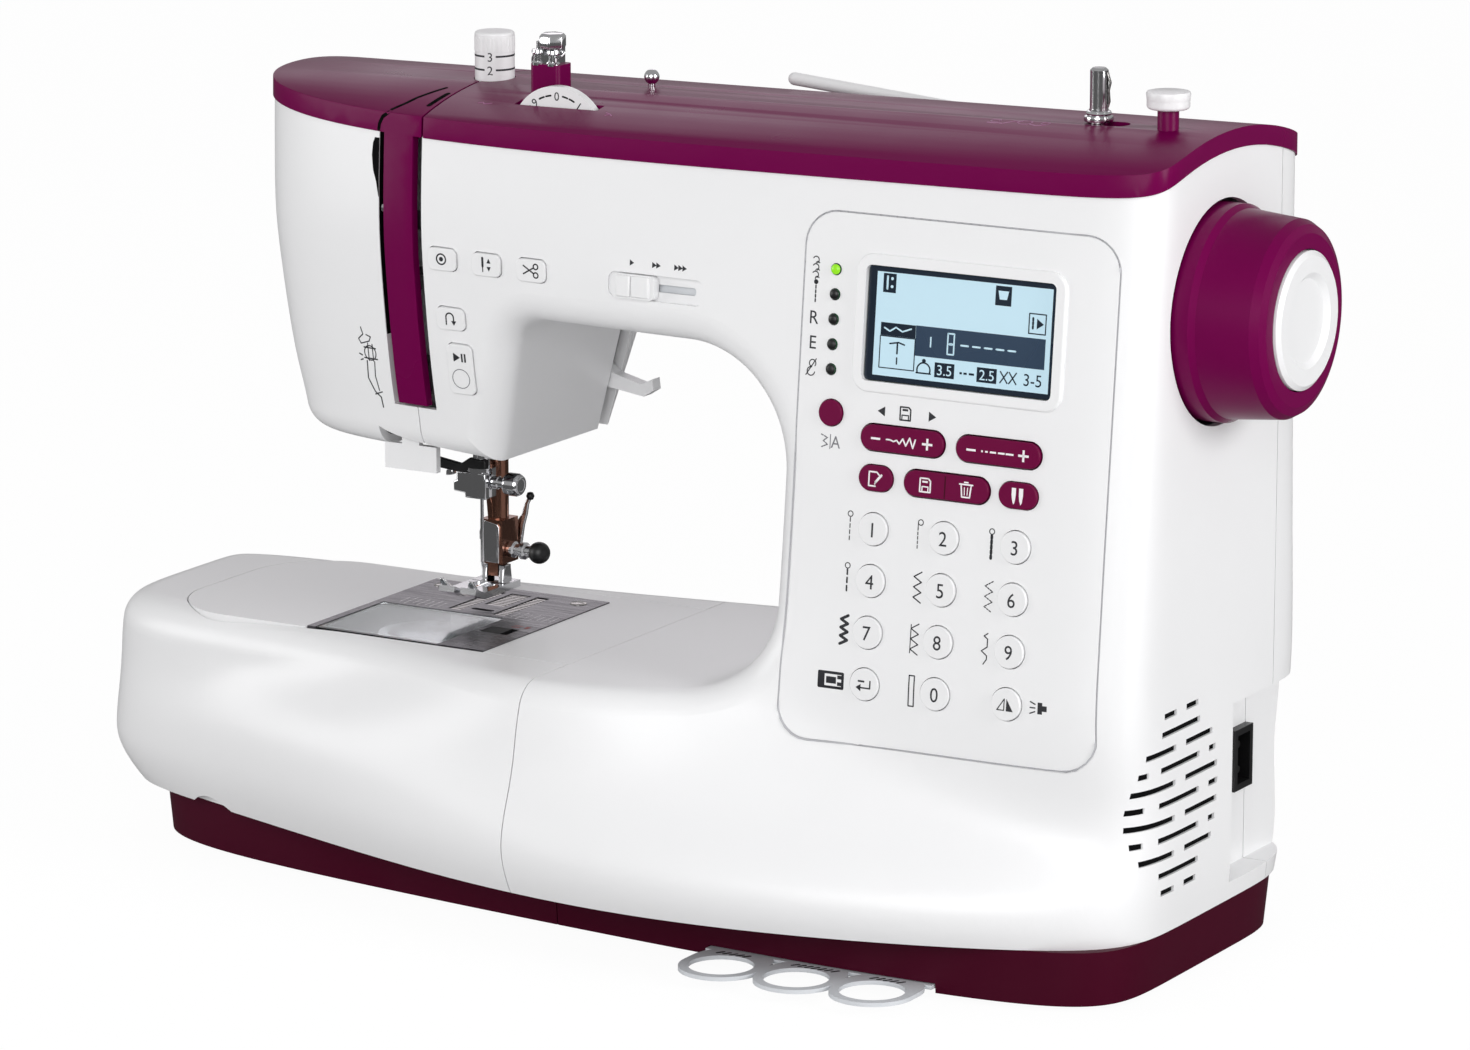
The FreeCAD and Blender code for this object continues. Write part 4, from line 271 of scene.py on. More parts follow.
def rectangle(x0: float, y0: float, x1: float, y1: float) -> Polygon:
    """Corners of a rectangle, anticlockwise from its lower left."""
    return [(x0, y0), (x1, y0), (x1, y1), (x0, y1)]


@dataclass
class Ink:
    """Flat marks drawn in millimetres and laid on a surface."""

    shapes: list[Polygon] = field(default_factory=list)

    def poly(self, *points: Point2) -> "Ink":
        """Adds a filled shape."""
        self.shapes.append(list(points))
        return self

    def block(self, x: float, y: float, width: float, height: float) -> "Ink":
        """Adds a filled rectangle about a point."""
        a, b = width / 2, height / 2
        return self.poly(*rectangle(x - a, y - b, x + a, y + b))

    def dot(self, x: float, y: float, radius: float, count: int = 16) -> "Ink":
        """Adds a filled disc."""
        turns = [2 * math.pi * i / count for i in range(count)]
        return self.poly(*[(x + radius * math.cos(t), y + radius * math.sin(t)) for t in turns])

    def line(self, points: Sequence[Point2], width: float = 0.45, closed: bool = False) -> "Ink":
        """Adds a stroke with rounded joints.

        Args:
            points: Corners of the stroke.
            width: Stroke width.
            closed: Whether the last point joins the first.

        Returns:
            The same marks, for chaining.
        """
        path = list(points) + ([points[0]] if closed else [])
        for (x0, y0), (x1, y1) in zip(path, path[1:]):
            run = math.hypot(x1 - x0, y1 - y0)
            if run < 1e-6:
                continue
            nx, ny = -(y1 - y0) / run * width / 2, (x1 - x0) / run * width / 2
            self.poly((x0 - nx, y0 - ny), (x1 - nx, y1 - ny), (x1 + nx, y1 + ny), (x0 + nx, y0 + ny))
        for x, y in path:
            self.dot(x, y, width / 2, 8)
        return self

    def add(self, other: "Ink", x: float, y: float, turn: float = 0.0) -> "Ink":
        """Adds other marks, turned by an angle in radians and moved to a point."""
        c, s = math.cos(turn), math.sin(turn)
        for shape in other.shapes:
            self.poly(*[(x + u * c - v * s, y + u * s + v * c) for u, v in shape])
        return self

    def arc(
        self, x: float, y: float, radius: float, start: float, end: float, width: float = 0.45
    ) -> "Ink":
        """Adds a curved stroke between two angles in degrees."""
        count = max(4, int(abs(end - start) / 18))
        turns = [math.radians(start + (end - start) * i / count) for i in range(count + 1)]
        return self.line([(x + radius * math.cos(t), y + radius * math.sin(t)) for t in turns], width)

    def dashes(self, x0: float, y0: float, x1: float, y1: float, count: int, width: float = 0.4) -> "Ink":
        """Adds a broken straight line."""
        run, rise = x1 - x0, y1 - y0
        for i in range(count):
            ends = i / count, (i + 0.6) / count
            self.line([(x0 + run * share, y0 + rise * share) for share in ends], width)
        return self

    def zigzag(
        self, x: float, y: float, width: float, height: float, turns: int, stroke: float = 0.4
    ) -> "Ink":
        """Adds an upright zigzag."""
        points = []
        for i in range(turns + 1):
            side = width / 2 if i % 2 == 0 else -width / 2
            points.append((x + side, y + height / 2 - height * i / turns))
        return self.line(points, stroke)

    def text(self, body: str, x: float, y: float, height: float, squeeze: float = 1.0) -> "Ink":
        """Adds generic figures or letters centred on a point.

        Args:
            body: Characters to draw.
            x: Middle of the text.
            y: Middle height of the text.
            height: Height of the characters.
            squeeze: Width factor.

        Returns:
            The same marks, for chaining.
        """
        curve = bpy.data.curves.new("figure_text", "FONT")
        curve.body = body
        curve.resolution_u = 4
        holder = bpy.data.objects.new("figure_text", curve)
        bpy.context.scene.collection.objects.link(holder)
        mesh = bpy.data.meshes.new_from_object(holder.evaluated_get(bpy.context.evaluated_depsgraph_get()))
        xs = [v.co.x for v in mesh.vertices]
        ys = [v.co.y for v in mesh.vertices]
        scale = height / (max(ys) - min(ys))
        mid_x, mid_y = (max(xs) + min(xs)) / 2, (max(ys) + min(ys)) / 2
        for face in mesh.polygons:
            points = [mesh.vertices[i].co for i in face.vertices]
            self.poly(*[(x + (p.x - mid_x) * scale * squeeze, y + (p.y - mid_y) * scale) for p in points])
        bpy.data.objects.remove(holder)
        bpy.data.curves.remove(curve)
        bpy.data.meshes.remove(mesh)
        return self

    def lay(
        self, name: str, place: Placer, finish: Finish, body: str, slot: str, rise: float = INK_RISE
    ) -> bpy.types.Object:
        """Turns the marks into one thin piece on a surface.

        Args:
            name: Name of the piece.
            place: Gives the point of the surface for x, y and a height, all in millimetres.
            finish: Ink of the marks.
            body: CAD body that carries them.
            slot: Material slot of the record; not used.
            rise: Height of the ink over the surface, in millimetres.

        Returns:
            The new piece.
        """
        mesh = bmesh.new()
        for shape in self.shapes:
            area = sum(a[0] * b[1] - b[0] * a[1] for a, b in zip(shape, shape[1:] + shape[:1]))
            ring = shape if area > 0 else shape[::-1]
            top = [mesh.verts.new(place(x, y, rise)) for x, y in ring]
            low = [mesh.verts.new(place(x, y, -INK_SINK)) for x, y in ring]
            mesh.faces.new(top)
            for i, vert in enumerate(top):
                j = (i + 1) % len(top)
                mesh.faces.new((low[i], low[j], top[j], vert))
            mesh.faces.new(low[::-1])
        return add_piece(name, mesh, finish, body)

    def press(
        self,
        name: str,
        node: str,
        finish: Finish = INK_DARK,
        slot: str = "white_button",
        rise: float = INK_RISE,
    ) -> bpy.types.Object:
        """Prints the marks on the button that carries them."""
        return self.lay(name, button_placer(node), finish, node, slot, rise)

    def print_front(
        self,
        name: str,
        node: str,
        at: Point2,
        finish: Finish = INK_DARK,
        slot: str = "white_abs",
        rise: float = INK_RISE,
    ) -> bpy.types.Object:
        """Prints the marks on the front of a fixed cover, about a point in X and Z."""
        return self.lay(name, cast_placer(node, *at), finish, "machine", slot, rise)

    def print_top(
        self,
        name: str,
        node: str,
        at: Point2,
        finish: Finish,
        slot: str,
        rise: float = INK_RISE,
        body: str = "machine",
    ) -> bpy.types.Object:
        """Prints the marks on top of a node, about a point in X and Y."""
        return self.lay(name, cast_placer(node, *at, True), finish, body, slot, rise)


def add_piece(name: str, mesh: bmesh.types.BMesh, finish: Finish, body: str) -> bpy.types.Object:
    """Makes an object of a mesh, gives it its finish and lets it ride on a body.

    Args:
        name: Name of the piece.
        mesh: Geometry in metres, in the frame of the part.
        finish: Finish of the whole piece.
        body: CAD body that carries it.

    Returns:
        The new object.
    """
    data = bpy.data.meshes.new(name)
    mesh.to_mesh(data)
    mesh.free()
    piece = bpy.data.objects.new(name, data)
    bpy.context.scene.collection.objects.link(piece)
    data.materials.append(finish.build())
    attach(piece, body)
    LOG.info("piece %s rides on %s", name, body)
    return piece


def smooth(piece: bpy.types.Object, angle: float = 35.0) -> None:
    """Shades a piece smoothly but for its sharp edges."""
    piece.data.polygons.foreach_set("use_smooth", [True] * len(piece.data.polygons))
    piece.data.set_sharp_from_angle(angle=math.radians(angle))


def plane_placer(origin: Vector, right: Vector, up: Vector) -> Placer:
    """Lays millimetre drawings on a flat face.

    Args:
        origin: Point of the face, in metres.
        right: Unit vector of drawing x.
        up: Unit vector of drawing y.

    Returns:
        Function from drawing x, y and height to a point.
    """
    out = right.cross(up)
    return lambda x, y, h: origin + (right * x + up * y + out * h) * MM


def surface(node: str) -> BVHTree:
    """Tree of a CAD node's faces, for rays."""
    return BVHTree.FromObject(frame["nodes"][node], bpy.context.evaluated_depsgraph_get())


def cast_placer(node: str, x0: float, z0: float, from_above: bool = False) -> Placer:
    """Lays millimetre drawings on the front or top of a curved CAD node.

    Args:
        node: CAD node that carries the marks.
        x0: Drawing origin along X, in millimetres.
        z0: Drawing origin along Z, or along Y from above, in millimetres.
        from_above: Whether the marks lie on top instead of on the front.

    Returns:
        Function from drawing x, y and height to a point.
    """
    tree = surface(node)
    aim = -UP if from_above else REAR

    def place(x: float, y: float, h: float) -> Vector:
        if from_above:
            start = Vector(((x0 + x) * MM, (z0 + y) * MM, RAY_TOP))
        else:
            start = Vector(((x0 + x) * MM, RAY_FRONT, (z0 + y) * MM))
        hit, normal, _, _ = tree.ray_cast(start, aim)
        if hit is None:
            raise ValueError(f"no surface of {node} at {x0 + x:.1f}, {z0 + y:.1f}")
        if normal.dot(aim) > 0:
            normal = -normal
        return hit + normal * h * MM

    return place


def fine(points: Sequence[Point2], step: float = 1.0) -> list[Point2]:
    """Splits a stroke into short runs that follow a curved surface."""
    path = [points[0]]
    for (x0, y0), (x1, y1) in zip(points, points[1:]):
        count = max(1, math.ceil(math.hypot(x1 - x0, y1 - y0) / step))
        path += [(x0 + (x1 - x0) * i / count, y0 + (y1 - y0) * i / count) for i in range(1, count + 1)]
    return path


def facing(node: str) -> Vector:
    """Mean outward direction of a node's front faces."""
    total = Vector()
    for face in frame["nodes"][node].data.polygons:
        if face.normal.y < -0.95:
            total += face.normal * face.area
    return total.normalized()


def crest_placer(node: str, out: Vector) -> Placer:
    """Lays drawings on the outermost level of a node, square to a direction."""
    low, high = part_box(node)
    middle = (low + high) / 2
    crest = max(v.co.dot(out) for v in frame["nodes"][node].data.vertices)
    return plane_placer(middle + out * (crest - middle.dot(out)), RIGHT, out.cross(RIGHT))


def button_placer(node: str) -> Placer:
    """Lays drawings on the outer face of a button, square to the way it is pressed."""
    joint = next(j for j in frame["joints"] if j["child"] == node)
    return crest_placer(node, PANEL.out() if joint["type"] == "hinge" else -Vector(joint["axis"]))


@dataclass
class Panel:
    """Leaning control panel of the column, in millimetres."""

    foot_y: float = -50.5
    foot_z: float = 90.0
    lean: float = 5.9
    lcd_x: float = 125.2
    lcd_z: float = 215.5
    lcd_width: float = 68.5
    lcd_height: float = 37.0
    lcd_sink: float = 0.8
    frame_rise: float = 0.06
    glass_rise: float = 0.12
    band_rise: float = 0.15
    dark_rise: float = 0.16
    pale_rise: float = 0.2
    led_x: float = 79.0
    led_top: float = 231.4
    led_pitch: float = 8.1
    led_radius: float = 1.7
    led_proud: float = 0.42
    led_dome: float = 0.7
    led_cut: float = -0.1
    sign_x: float = -7.2
    key_x: float = 98.0
    key_z: float = 149.0
    pitch_x: float = 26.0
    pitch_z: float = 16.87
    icon_shift: float = -8.8
    figure_height: float = 4.7
    letter_width: float = 0.95
    memory_at: Point2 = (107.0, 187.4)
    mode_at: Point2 = (80.0, 175.6)
    line_at: Point2 = (124.0, 164.25)
    line_half_width: float = 56.7
    line_half_height: float = 86.0
    line_corner: float = 11.7
    line_width: float = 0.5
    line_step: float = 3.0
    line_fill: float = 0.4

    def up(self) -> Vector:
        """Upward direction along the panel."""
        lean = math.radians(self.lean)
        return Vector((0, math.sin(lean), math.cos(lean)))

    def out(self) -> Vector:
        """Outward direction of the panel."""
        lean = math.radians(self.lean)
        return Vector((0, -math.cos(lean), math.sin(lean)))

    def placer(self, x: float, z: float, rise: float = 0.0) -> Placer:
        """Lays drawings on the panel about a point, rise millimetres over it."""
        y = self.foot_y + (z - self.foot_z) * math.tan(math.radians(self.lean))
        origin = (Vector((x, y, z)) + self.out() * rise) * MM
        return plane_placer(origin, RIGHT, self.up())

    def key_icon(self, index: int) -> Ink:
        """Draws the stitch beside a numbered key, ten millimetres tall."""
        ink = Ink()
        if index <= 4:
            ink.arc(0, 4.1, 0.9, 0, 360, 0.3)
        if index == 2:
            ink.line([(-0.9, 4.1), (-0.9, 2.6)], 0.3).dashes(-0.9, 2.4, -0.9, -4.9, 5, 0.35)
        elif index <= 4:
            count, stroke = {1: (4, 0.35), 3: (5, 0.95), 4: (3, 0.6)}[index]
            ink.dashes(0, 2.8, 0, -5.2, count, stroke)
        elif index == 5:
            ink.zigzag(0, 0, 2.8, 10, 6, 0.42)
        elif index == 6:
            for i in range(6):
                side = 1.4 if i % 2 == 0 else -1.4
                ink.dashes(side, 5 - i * 1.67, -side, 3.33 - i * 1.67, 3, 0.35)
        elif index == 7:
            ink.zigzag(0, 0, 2.6, 9.4, 7, 0.95)
        elif index == 8:
            ink.zigzag(0, 0, 2.8, 10, 6, 0.38).line([(-1.4, 4.6), (-1.4, -4.6)], 0.3)
        else:
            upper = [(0.6, 5), (-0.7, 4.1), (0.6, 3.2), (0.6, 0.6)]
            ink.line(upper + [(-1.4, -0.8), (0.6, -2.2), (0.6, -3.4), (-0.5, -5)], 0.38)
        return ink

    def build(self) -> None:
        """Paints the groove shade and builds the keypad marks, indicator lenses and display."""
        self.outline()
        self.keys()
        self.pills()
        self.indicators()
        self.display()

    def outline(self) -> None:
        """Paints the shade of the groove round the panel as a grey line."""
        r = self.line_corner
        a, b = self.line_half_width - r, self.line_half_height - r
        path = []
        for x, z, start in ((a, b, 0), (-a, b, 90), (-a, -b, 180), (a, -b, 270)):
            turns = [math.radians(start + 15 * i) for i in range(7)]
            path += [(x + r * math.cos(t), z + r * math.sin(t)) for t in turns]
        line = Ink().line(fine(path + path[:1], self.line_step), self.line_width)
        line.print_front("panel_groove_shade", "front_cover", self.line_at, GROOVE_SHADE, rise=self.line_fill)

    def keys(self) -> None:
        """Prints the figures on the keys and the symbols beside them."""
        side = Ink()
        for index in range(1, 10):
            figure = Ink().text(str(index), 0, 0, self.figure_height, self.letter_width)
            figure.press(f"key_{index}_figure", f"key_{index}")
            row, column = divmod(index - 1, 3)
            side.add(self.key_icon(index), self.pitch_x * column + self.icon_shift, -self.pitch_z * row)
        zero = Ink().text("0", 0, 0, self.figure_height, self.letter_width)
        zero.press("key_0_figure", "key_0")
        enter = Ink().line([(2.3, 1.5), (2.3, -0.9), (-1.4, -0.9)], 0.5).block(-1.0, 1.2, 2.4, 0.6)
        enter.poly((-2.9, -0.9), (-1.1, 0.3), (-1.1, -2.1))
        enter.press("key_enter_symbol", "key_enter")
        mirror = Ink().line([(-0.4, -1.7), (-0.4, 2.0), (-2.9, -1.7)], 0.34, True)
        mirror.poly((0.4, -1.9), (2.9, -1.9), (0.4, 2.1))
        mirror.press("key_mirror_symbol", "key_mirror")
        self.last_row(side)
        side.print_front("keypad_symbols", "front_cover", (self.key_x, self.key_z))
        memo = Ink().poly((-9.9, 0), (-7.2, 1.6), (-7.2, -1.6)).poly((11.6, 0), (8.9, 1.6), (8.9, -1.6))
        memo.line([(-1.6, 2.1), (1.5, 2.1), (2.2, 1.4), (2.2, -2.1), (-1.6, -2.1)], 0.5, True)
        memo.block(0.2, 1.2, 2.0, 0.7).line([(-0.9, -2.0), (-0.9, -0.5), (1.5, -0.5), (1.5, -2.0)], 0.4)
        memo.print_front("memory_symbols", "front_cover", self.memory_at)
        mode = Ink().text("A", 2.2, 0, 3.9, 0.9).line([(0.2, 2.3), (0.2, -2.3)], 0.3)
        mode.dashes(-3.2, 2.1, -0.9, 1.2, 2, 0.4).dashes(-0.9, 1.2, -2.4, 0.1, 2, 0.4)
        mode.dashes(-2.4, 0.1, -0.8, -1.0, 2, 0.4).dashes(-0.8, -1.0, -3.2, -2.1, 3, 0.4)
        mode.print_front("mode_symbols", "front_cover", self.mode_at, INK_GREY)

    def last_row(self, side: Ink) -> None:
        """Draws the symbols beside the lowest row of keys."""
        last = -self.pitch_z * 3
        top, low = last + 2.4, last - 2.4
        side.line(fine([(-16.8, top), (-8.2, top), (-8.2, low), (-16.8, low)]), 0.9, True)
        side.block(-15.6, last, 1.6, 4.4).block(-12.4, last, 3.6, 2.2)
        side.block(-9.4, last + 1.1, 1.5, 1.2).block(-9.4, last - 1.1, 1.5, 1.2)
        column = self.pitch_x + self.icon_shift
        left, right, top, low = column - 0.95, column + 0.95, last + 5, last - 5
        side.line(fine([(left, top), (right, top), (right, low), (left, low), (left, top)]), 0.42)
        horn = self.pitch_x * 2 + 11.4
        side.block(horn + 0.4, last, 1.6, 3.8).block(horn + 2.0, last, 1.6, 1.8)
        for turn in (-1, 0, 1):
            side.line([(horn - 3.0, last + turn * 1.9), (horn - 1.3, last + turn * 1.2)], 0.42)

    def pills(self) -> None:
        """Prints the white symbols on the purple rockers and buttons."""
        wave = [(-5.6, 0.1), (-4.2, 0.1), (-3.0, -0.3), (-1.8, 0.2), (-0.8, -0.9)]
        wave += [(0.4, 0.9), (1.6, -1.3), (2.9, 1.4), (4.2, -1.8), (5.0, 1.0)]
        width = Ink().block(-9.6, 0, 3.4, 0.7).line(wave, 0.5)
        width.block(9.4, 0, 3.8, 0.75).block(9.4, 0, 0.75, 3.8)
        width.press("width_rocker_marks", "width_rocker", INK_WHITE, "purple_button")
        length = Ink().block(-9.6, 0, 3.4, 0.7).block(9.4, 0, 3.8, 0.75).block(9.4, 0, 0.75, 3.8)
        for x, run in ((-5.6, 0.6), (-4.0, 0.9), (-1.6, 2.2), (1.4, 2.4), (4.4, 2.8)):
            length.block(x, 0, run, 0.6)
        length.press("length_rocker_marks", "length_rocker", INK_WHITE, "purple_button")
        page = Ink().line([(0.2, -2.3), (-2.2, -2.3), (-2.2, 2.3), (0.6, 2.3), (1.6, 1.3)], 0.5)
        page.line([(0.3, -0.9), (2.3, 1.4)], 0.8).line([(0.0, -1.6), (0.3, -0.9)], 0.4)
        page.press("edit_button_marks", "edit_button", INK_WHITE, "purple_button")
        store = Ink().line([(-9.4, 2.2), (-6.4, 2.2), (-5.6, 1.4), (-5.6, -2.2), (-9.4, -2.2)], 0.5, True)
        store.block(-7.6, 1.1, 2.0, 0.6).line([(-8.6, -2.1), (-8.6, -0.5), (-6.4, -0.5), (-6.4, -2.1)], 0.4)
        store.line([(5.6, 1.4), (6.0, -2.3), (8.8, -2.3), (9.2, 1.4)], 0.5)
        store.line([(5.0, 1.8), (9.8, 1.8)], 0.5).line([(6.8, 0.8), (6.9, -1.6)], 0.3)
        store.line([(8.0, 0.8), (7.9, -1.6)], 0.3).block(7.4, 2.5, 1.6, 0.5)
        store.press("memory_rocker_marks", "memory_rocker", INK_WHITE, "purple_button")
        # The split between the rocker's two halves is painted shade, a dark purple line.
        split = Ink().block(-0.3, 0, 0.45, 7.4)
        split.press("memory_rocker_split_shade", "memory_rocker", PURPLE_BASE, "purple_button")
        twin = Ink()
        for x in (-1.3, 1.3):
            shank = [(x - 0.75, 2.7), (x + 0.75, 2.7), (x + 0.75, 0.4)]
            twin.poly(*shank, (x + 0.45, -2.0), (x, -2.7), (x - 0.45, -1.4), (x - 0.75, 0.4))
        twin.press("twin_button_marks", "twin_button", INK_WHITE, "purple_button")

    def indicators(self) -> None:
        """Builds the five indicator lenses and prints their symbols."""
        signs = Ink()
        for index in range(5):
            drop = -self.led_pitch * index
            self.lens(index, self.led_top + drop)
            if index == 0:
                for i in range(3):
                    signs.arc(-7.6, 2.4 - i * 2.4, 1.1, 150, -60, 0.35)
                    signs.arc(-6.9, 1.2 - i * 2.4, 0.7, 200, 20, 0.3)
            elif index == 1:
                signs.dashes(self.sign_x, drop + 3.6, self.sign_x, drop - 3.6, 5, 0.5)
                signs.dot(self.sign_x, drop + 3.4, 0.8)
            elif index in (2, 3):
                signs.text("RE"[index - 2], self.sign_x, drop, 4.2, self.letter_width)
            else:
                signs.arc(-6.9, drop + 1.3, 1.2, -40, 250, 0.35).arc(-7.4, drop - 1.3, 1.4, 80, 350, 0.35)
                signs.line([(-9.2, drop - 2.6), (-5.6, drop + 2.8)], 0.35)
        signs.print_front("indicator_symbols", "front_cover", (self.led_x, self.led_top))

    def lens(self, index: int, z: float) -> None:
        """Builds one indicator lens, of which the first is lit."""
        lens = bmesh.new()
        place = self.placer(self.led_x, z, self.led_proud)
        bmesh.ops.create_uvsphere(lens, u_segments=20, v_segments=10, radius=1.0)
        for vert in lens.verts:
            x, y, h = vert.co
            vert.co = place(x * self.led_radius, y * self.led_radius, max(h, self.led_cut) * self.led_dome)
        finish = LED_GREEN if index == 0 else BLACK
        smooth(add_piece(f"indicator_lens_{index + 1}", lens, finish, "machine"))

    def display(self) -> None:
        """Builds the glass of the display and its dark segments."""
        a, b = self.lcd_width / 2, self.lcd_height / 2
        place = self.placer(self.lcd_x, self.lcd_z, -self.lcd_sink)

        def show(ink: Ink, name: str, finish: Finish, rise: float) -> None:
            ink.lay(f"display_{name}", place, finish, "machine", "board", rise)

        show(Ink().poly(*rectangle(-a, -b, a, b)), "frame", LCD_FRAME, self.frame_rise)
        # The navy frame is the display's own border. It is drawn wider on the left, where the extra width is
        # painted shade of the bezel's depth.
        glass = Ink().poly(*rectangle(-a + 3.0, -b + 1.7, a - 1.6, b - 1.7))
        show(glass, "glass", LCD_GLASS, self.glass_rise)
        dark = Ink().block(-26.6, 13.3, 4.7, 6.2).block(14.9, 13.0, 5.8, 6.3).block(-22.6, -1.6, 12.8, 4.2)
        dark.line([(-29.0, -3.9), (-16.2, -3.9), (-16.2, -14.2), (-29.0, -14.2)], 0.35, True)
        dark.line([(24.6, 8.4), (30.6, 8.4), (30.6, 2.0), (24.6, 2.0)], 0.4, True)
        dark.poly((27.4, 6.9), (29.9, 5.2), (27.4, 3.5)).dashes(26.0, 7.0, 26.0, 3.2, 3, 0.7)
        dark.line([(-25.4, -6.2), (-22.2, -5.6), (-20.0, -6.2)], 0.5)
        dark.line([(-22.6, -6.0), (-22.6, -9.2)], 0.6).line([(-22.6, -10.6), (-22.6, -12.6)], 0.5)
        dark.block(-5.0, -13.0, 7.2, 4.8).block(10.4, -13.0, 7.2, 4.8)
        dark.arc(-12.6, -13.6, 2.4, 200, -20, 0.5).dot(-12.6, -10.6, 0.7)
        dark.line([(-15.2, -14.6), (-10.0, -14.6)], 0.5)
        dark.block(1.0, -13.2, 0.9, 0.7).block(2.6, -13.2, 1.2, 0.7).block(4.9, -13.2, 1.9, 0.7)
        for x in (16.6, 19.8):
            for lean in (-1.3, 1.3):
                dark.line([(x + lean, -11.2), (x - lean, -14.8)], 0.45)
        dark.text("3-5", 27.0, -13.0, 3.9, self.letter_width)
        show(Ink().block(7.4, -4.3, 47.0, 9.8), "band", LCD_DARK, self.band_rise)
        show(dark, "segments", LCD_FRAME, self.dark_rise)
        pale = Ink().text("1", -10.5, -4.3, 3.4)
        pale.line([(-4.3, -0.9), (-2.0, -0.9), (-2.0, -7.6), (-4.3, -7.6)], 0.5, True)
        pale.dashes(0.6, -4.3, 22.0, -4.3, 5, 0.6).line([(-3.6, -4.3), (-2.7, -4.3)], 0.8)
        pale.text("3.5", -5.0, -13.0, 3.3).text("2.5", 10.4, -13.0, 3.3)
        pale.line([(-27.4, 15.4), (-27.4, 11.4)], 0.7).dot(-25.7, 14.8, 0.5).dot(-25.7, 12.2, 0.5)
        pale.poly((13.0, 14.6), (16.8, 14.6), (16.2, 11.8), (13.6, 11.8))
        pale.line([(-27.6, -1.2), (-25.6, -2.2), (-23.4, -0.8), (-21.0, -2.0), (-17.8, -0.8)], 0.5)
        show(pale, "pale_segments", LCD_GLASS, self.pale_rise)


PANEL = Panel()


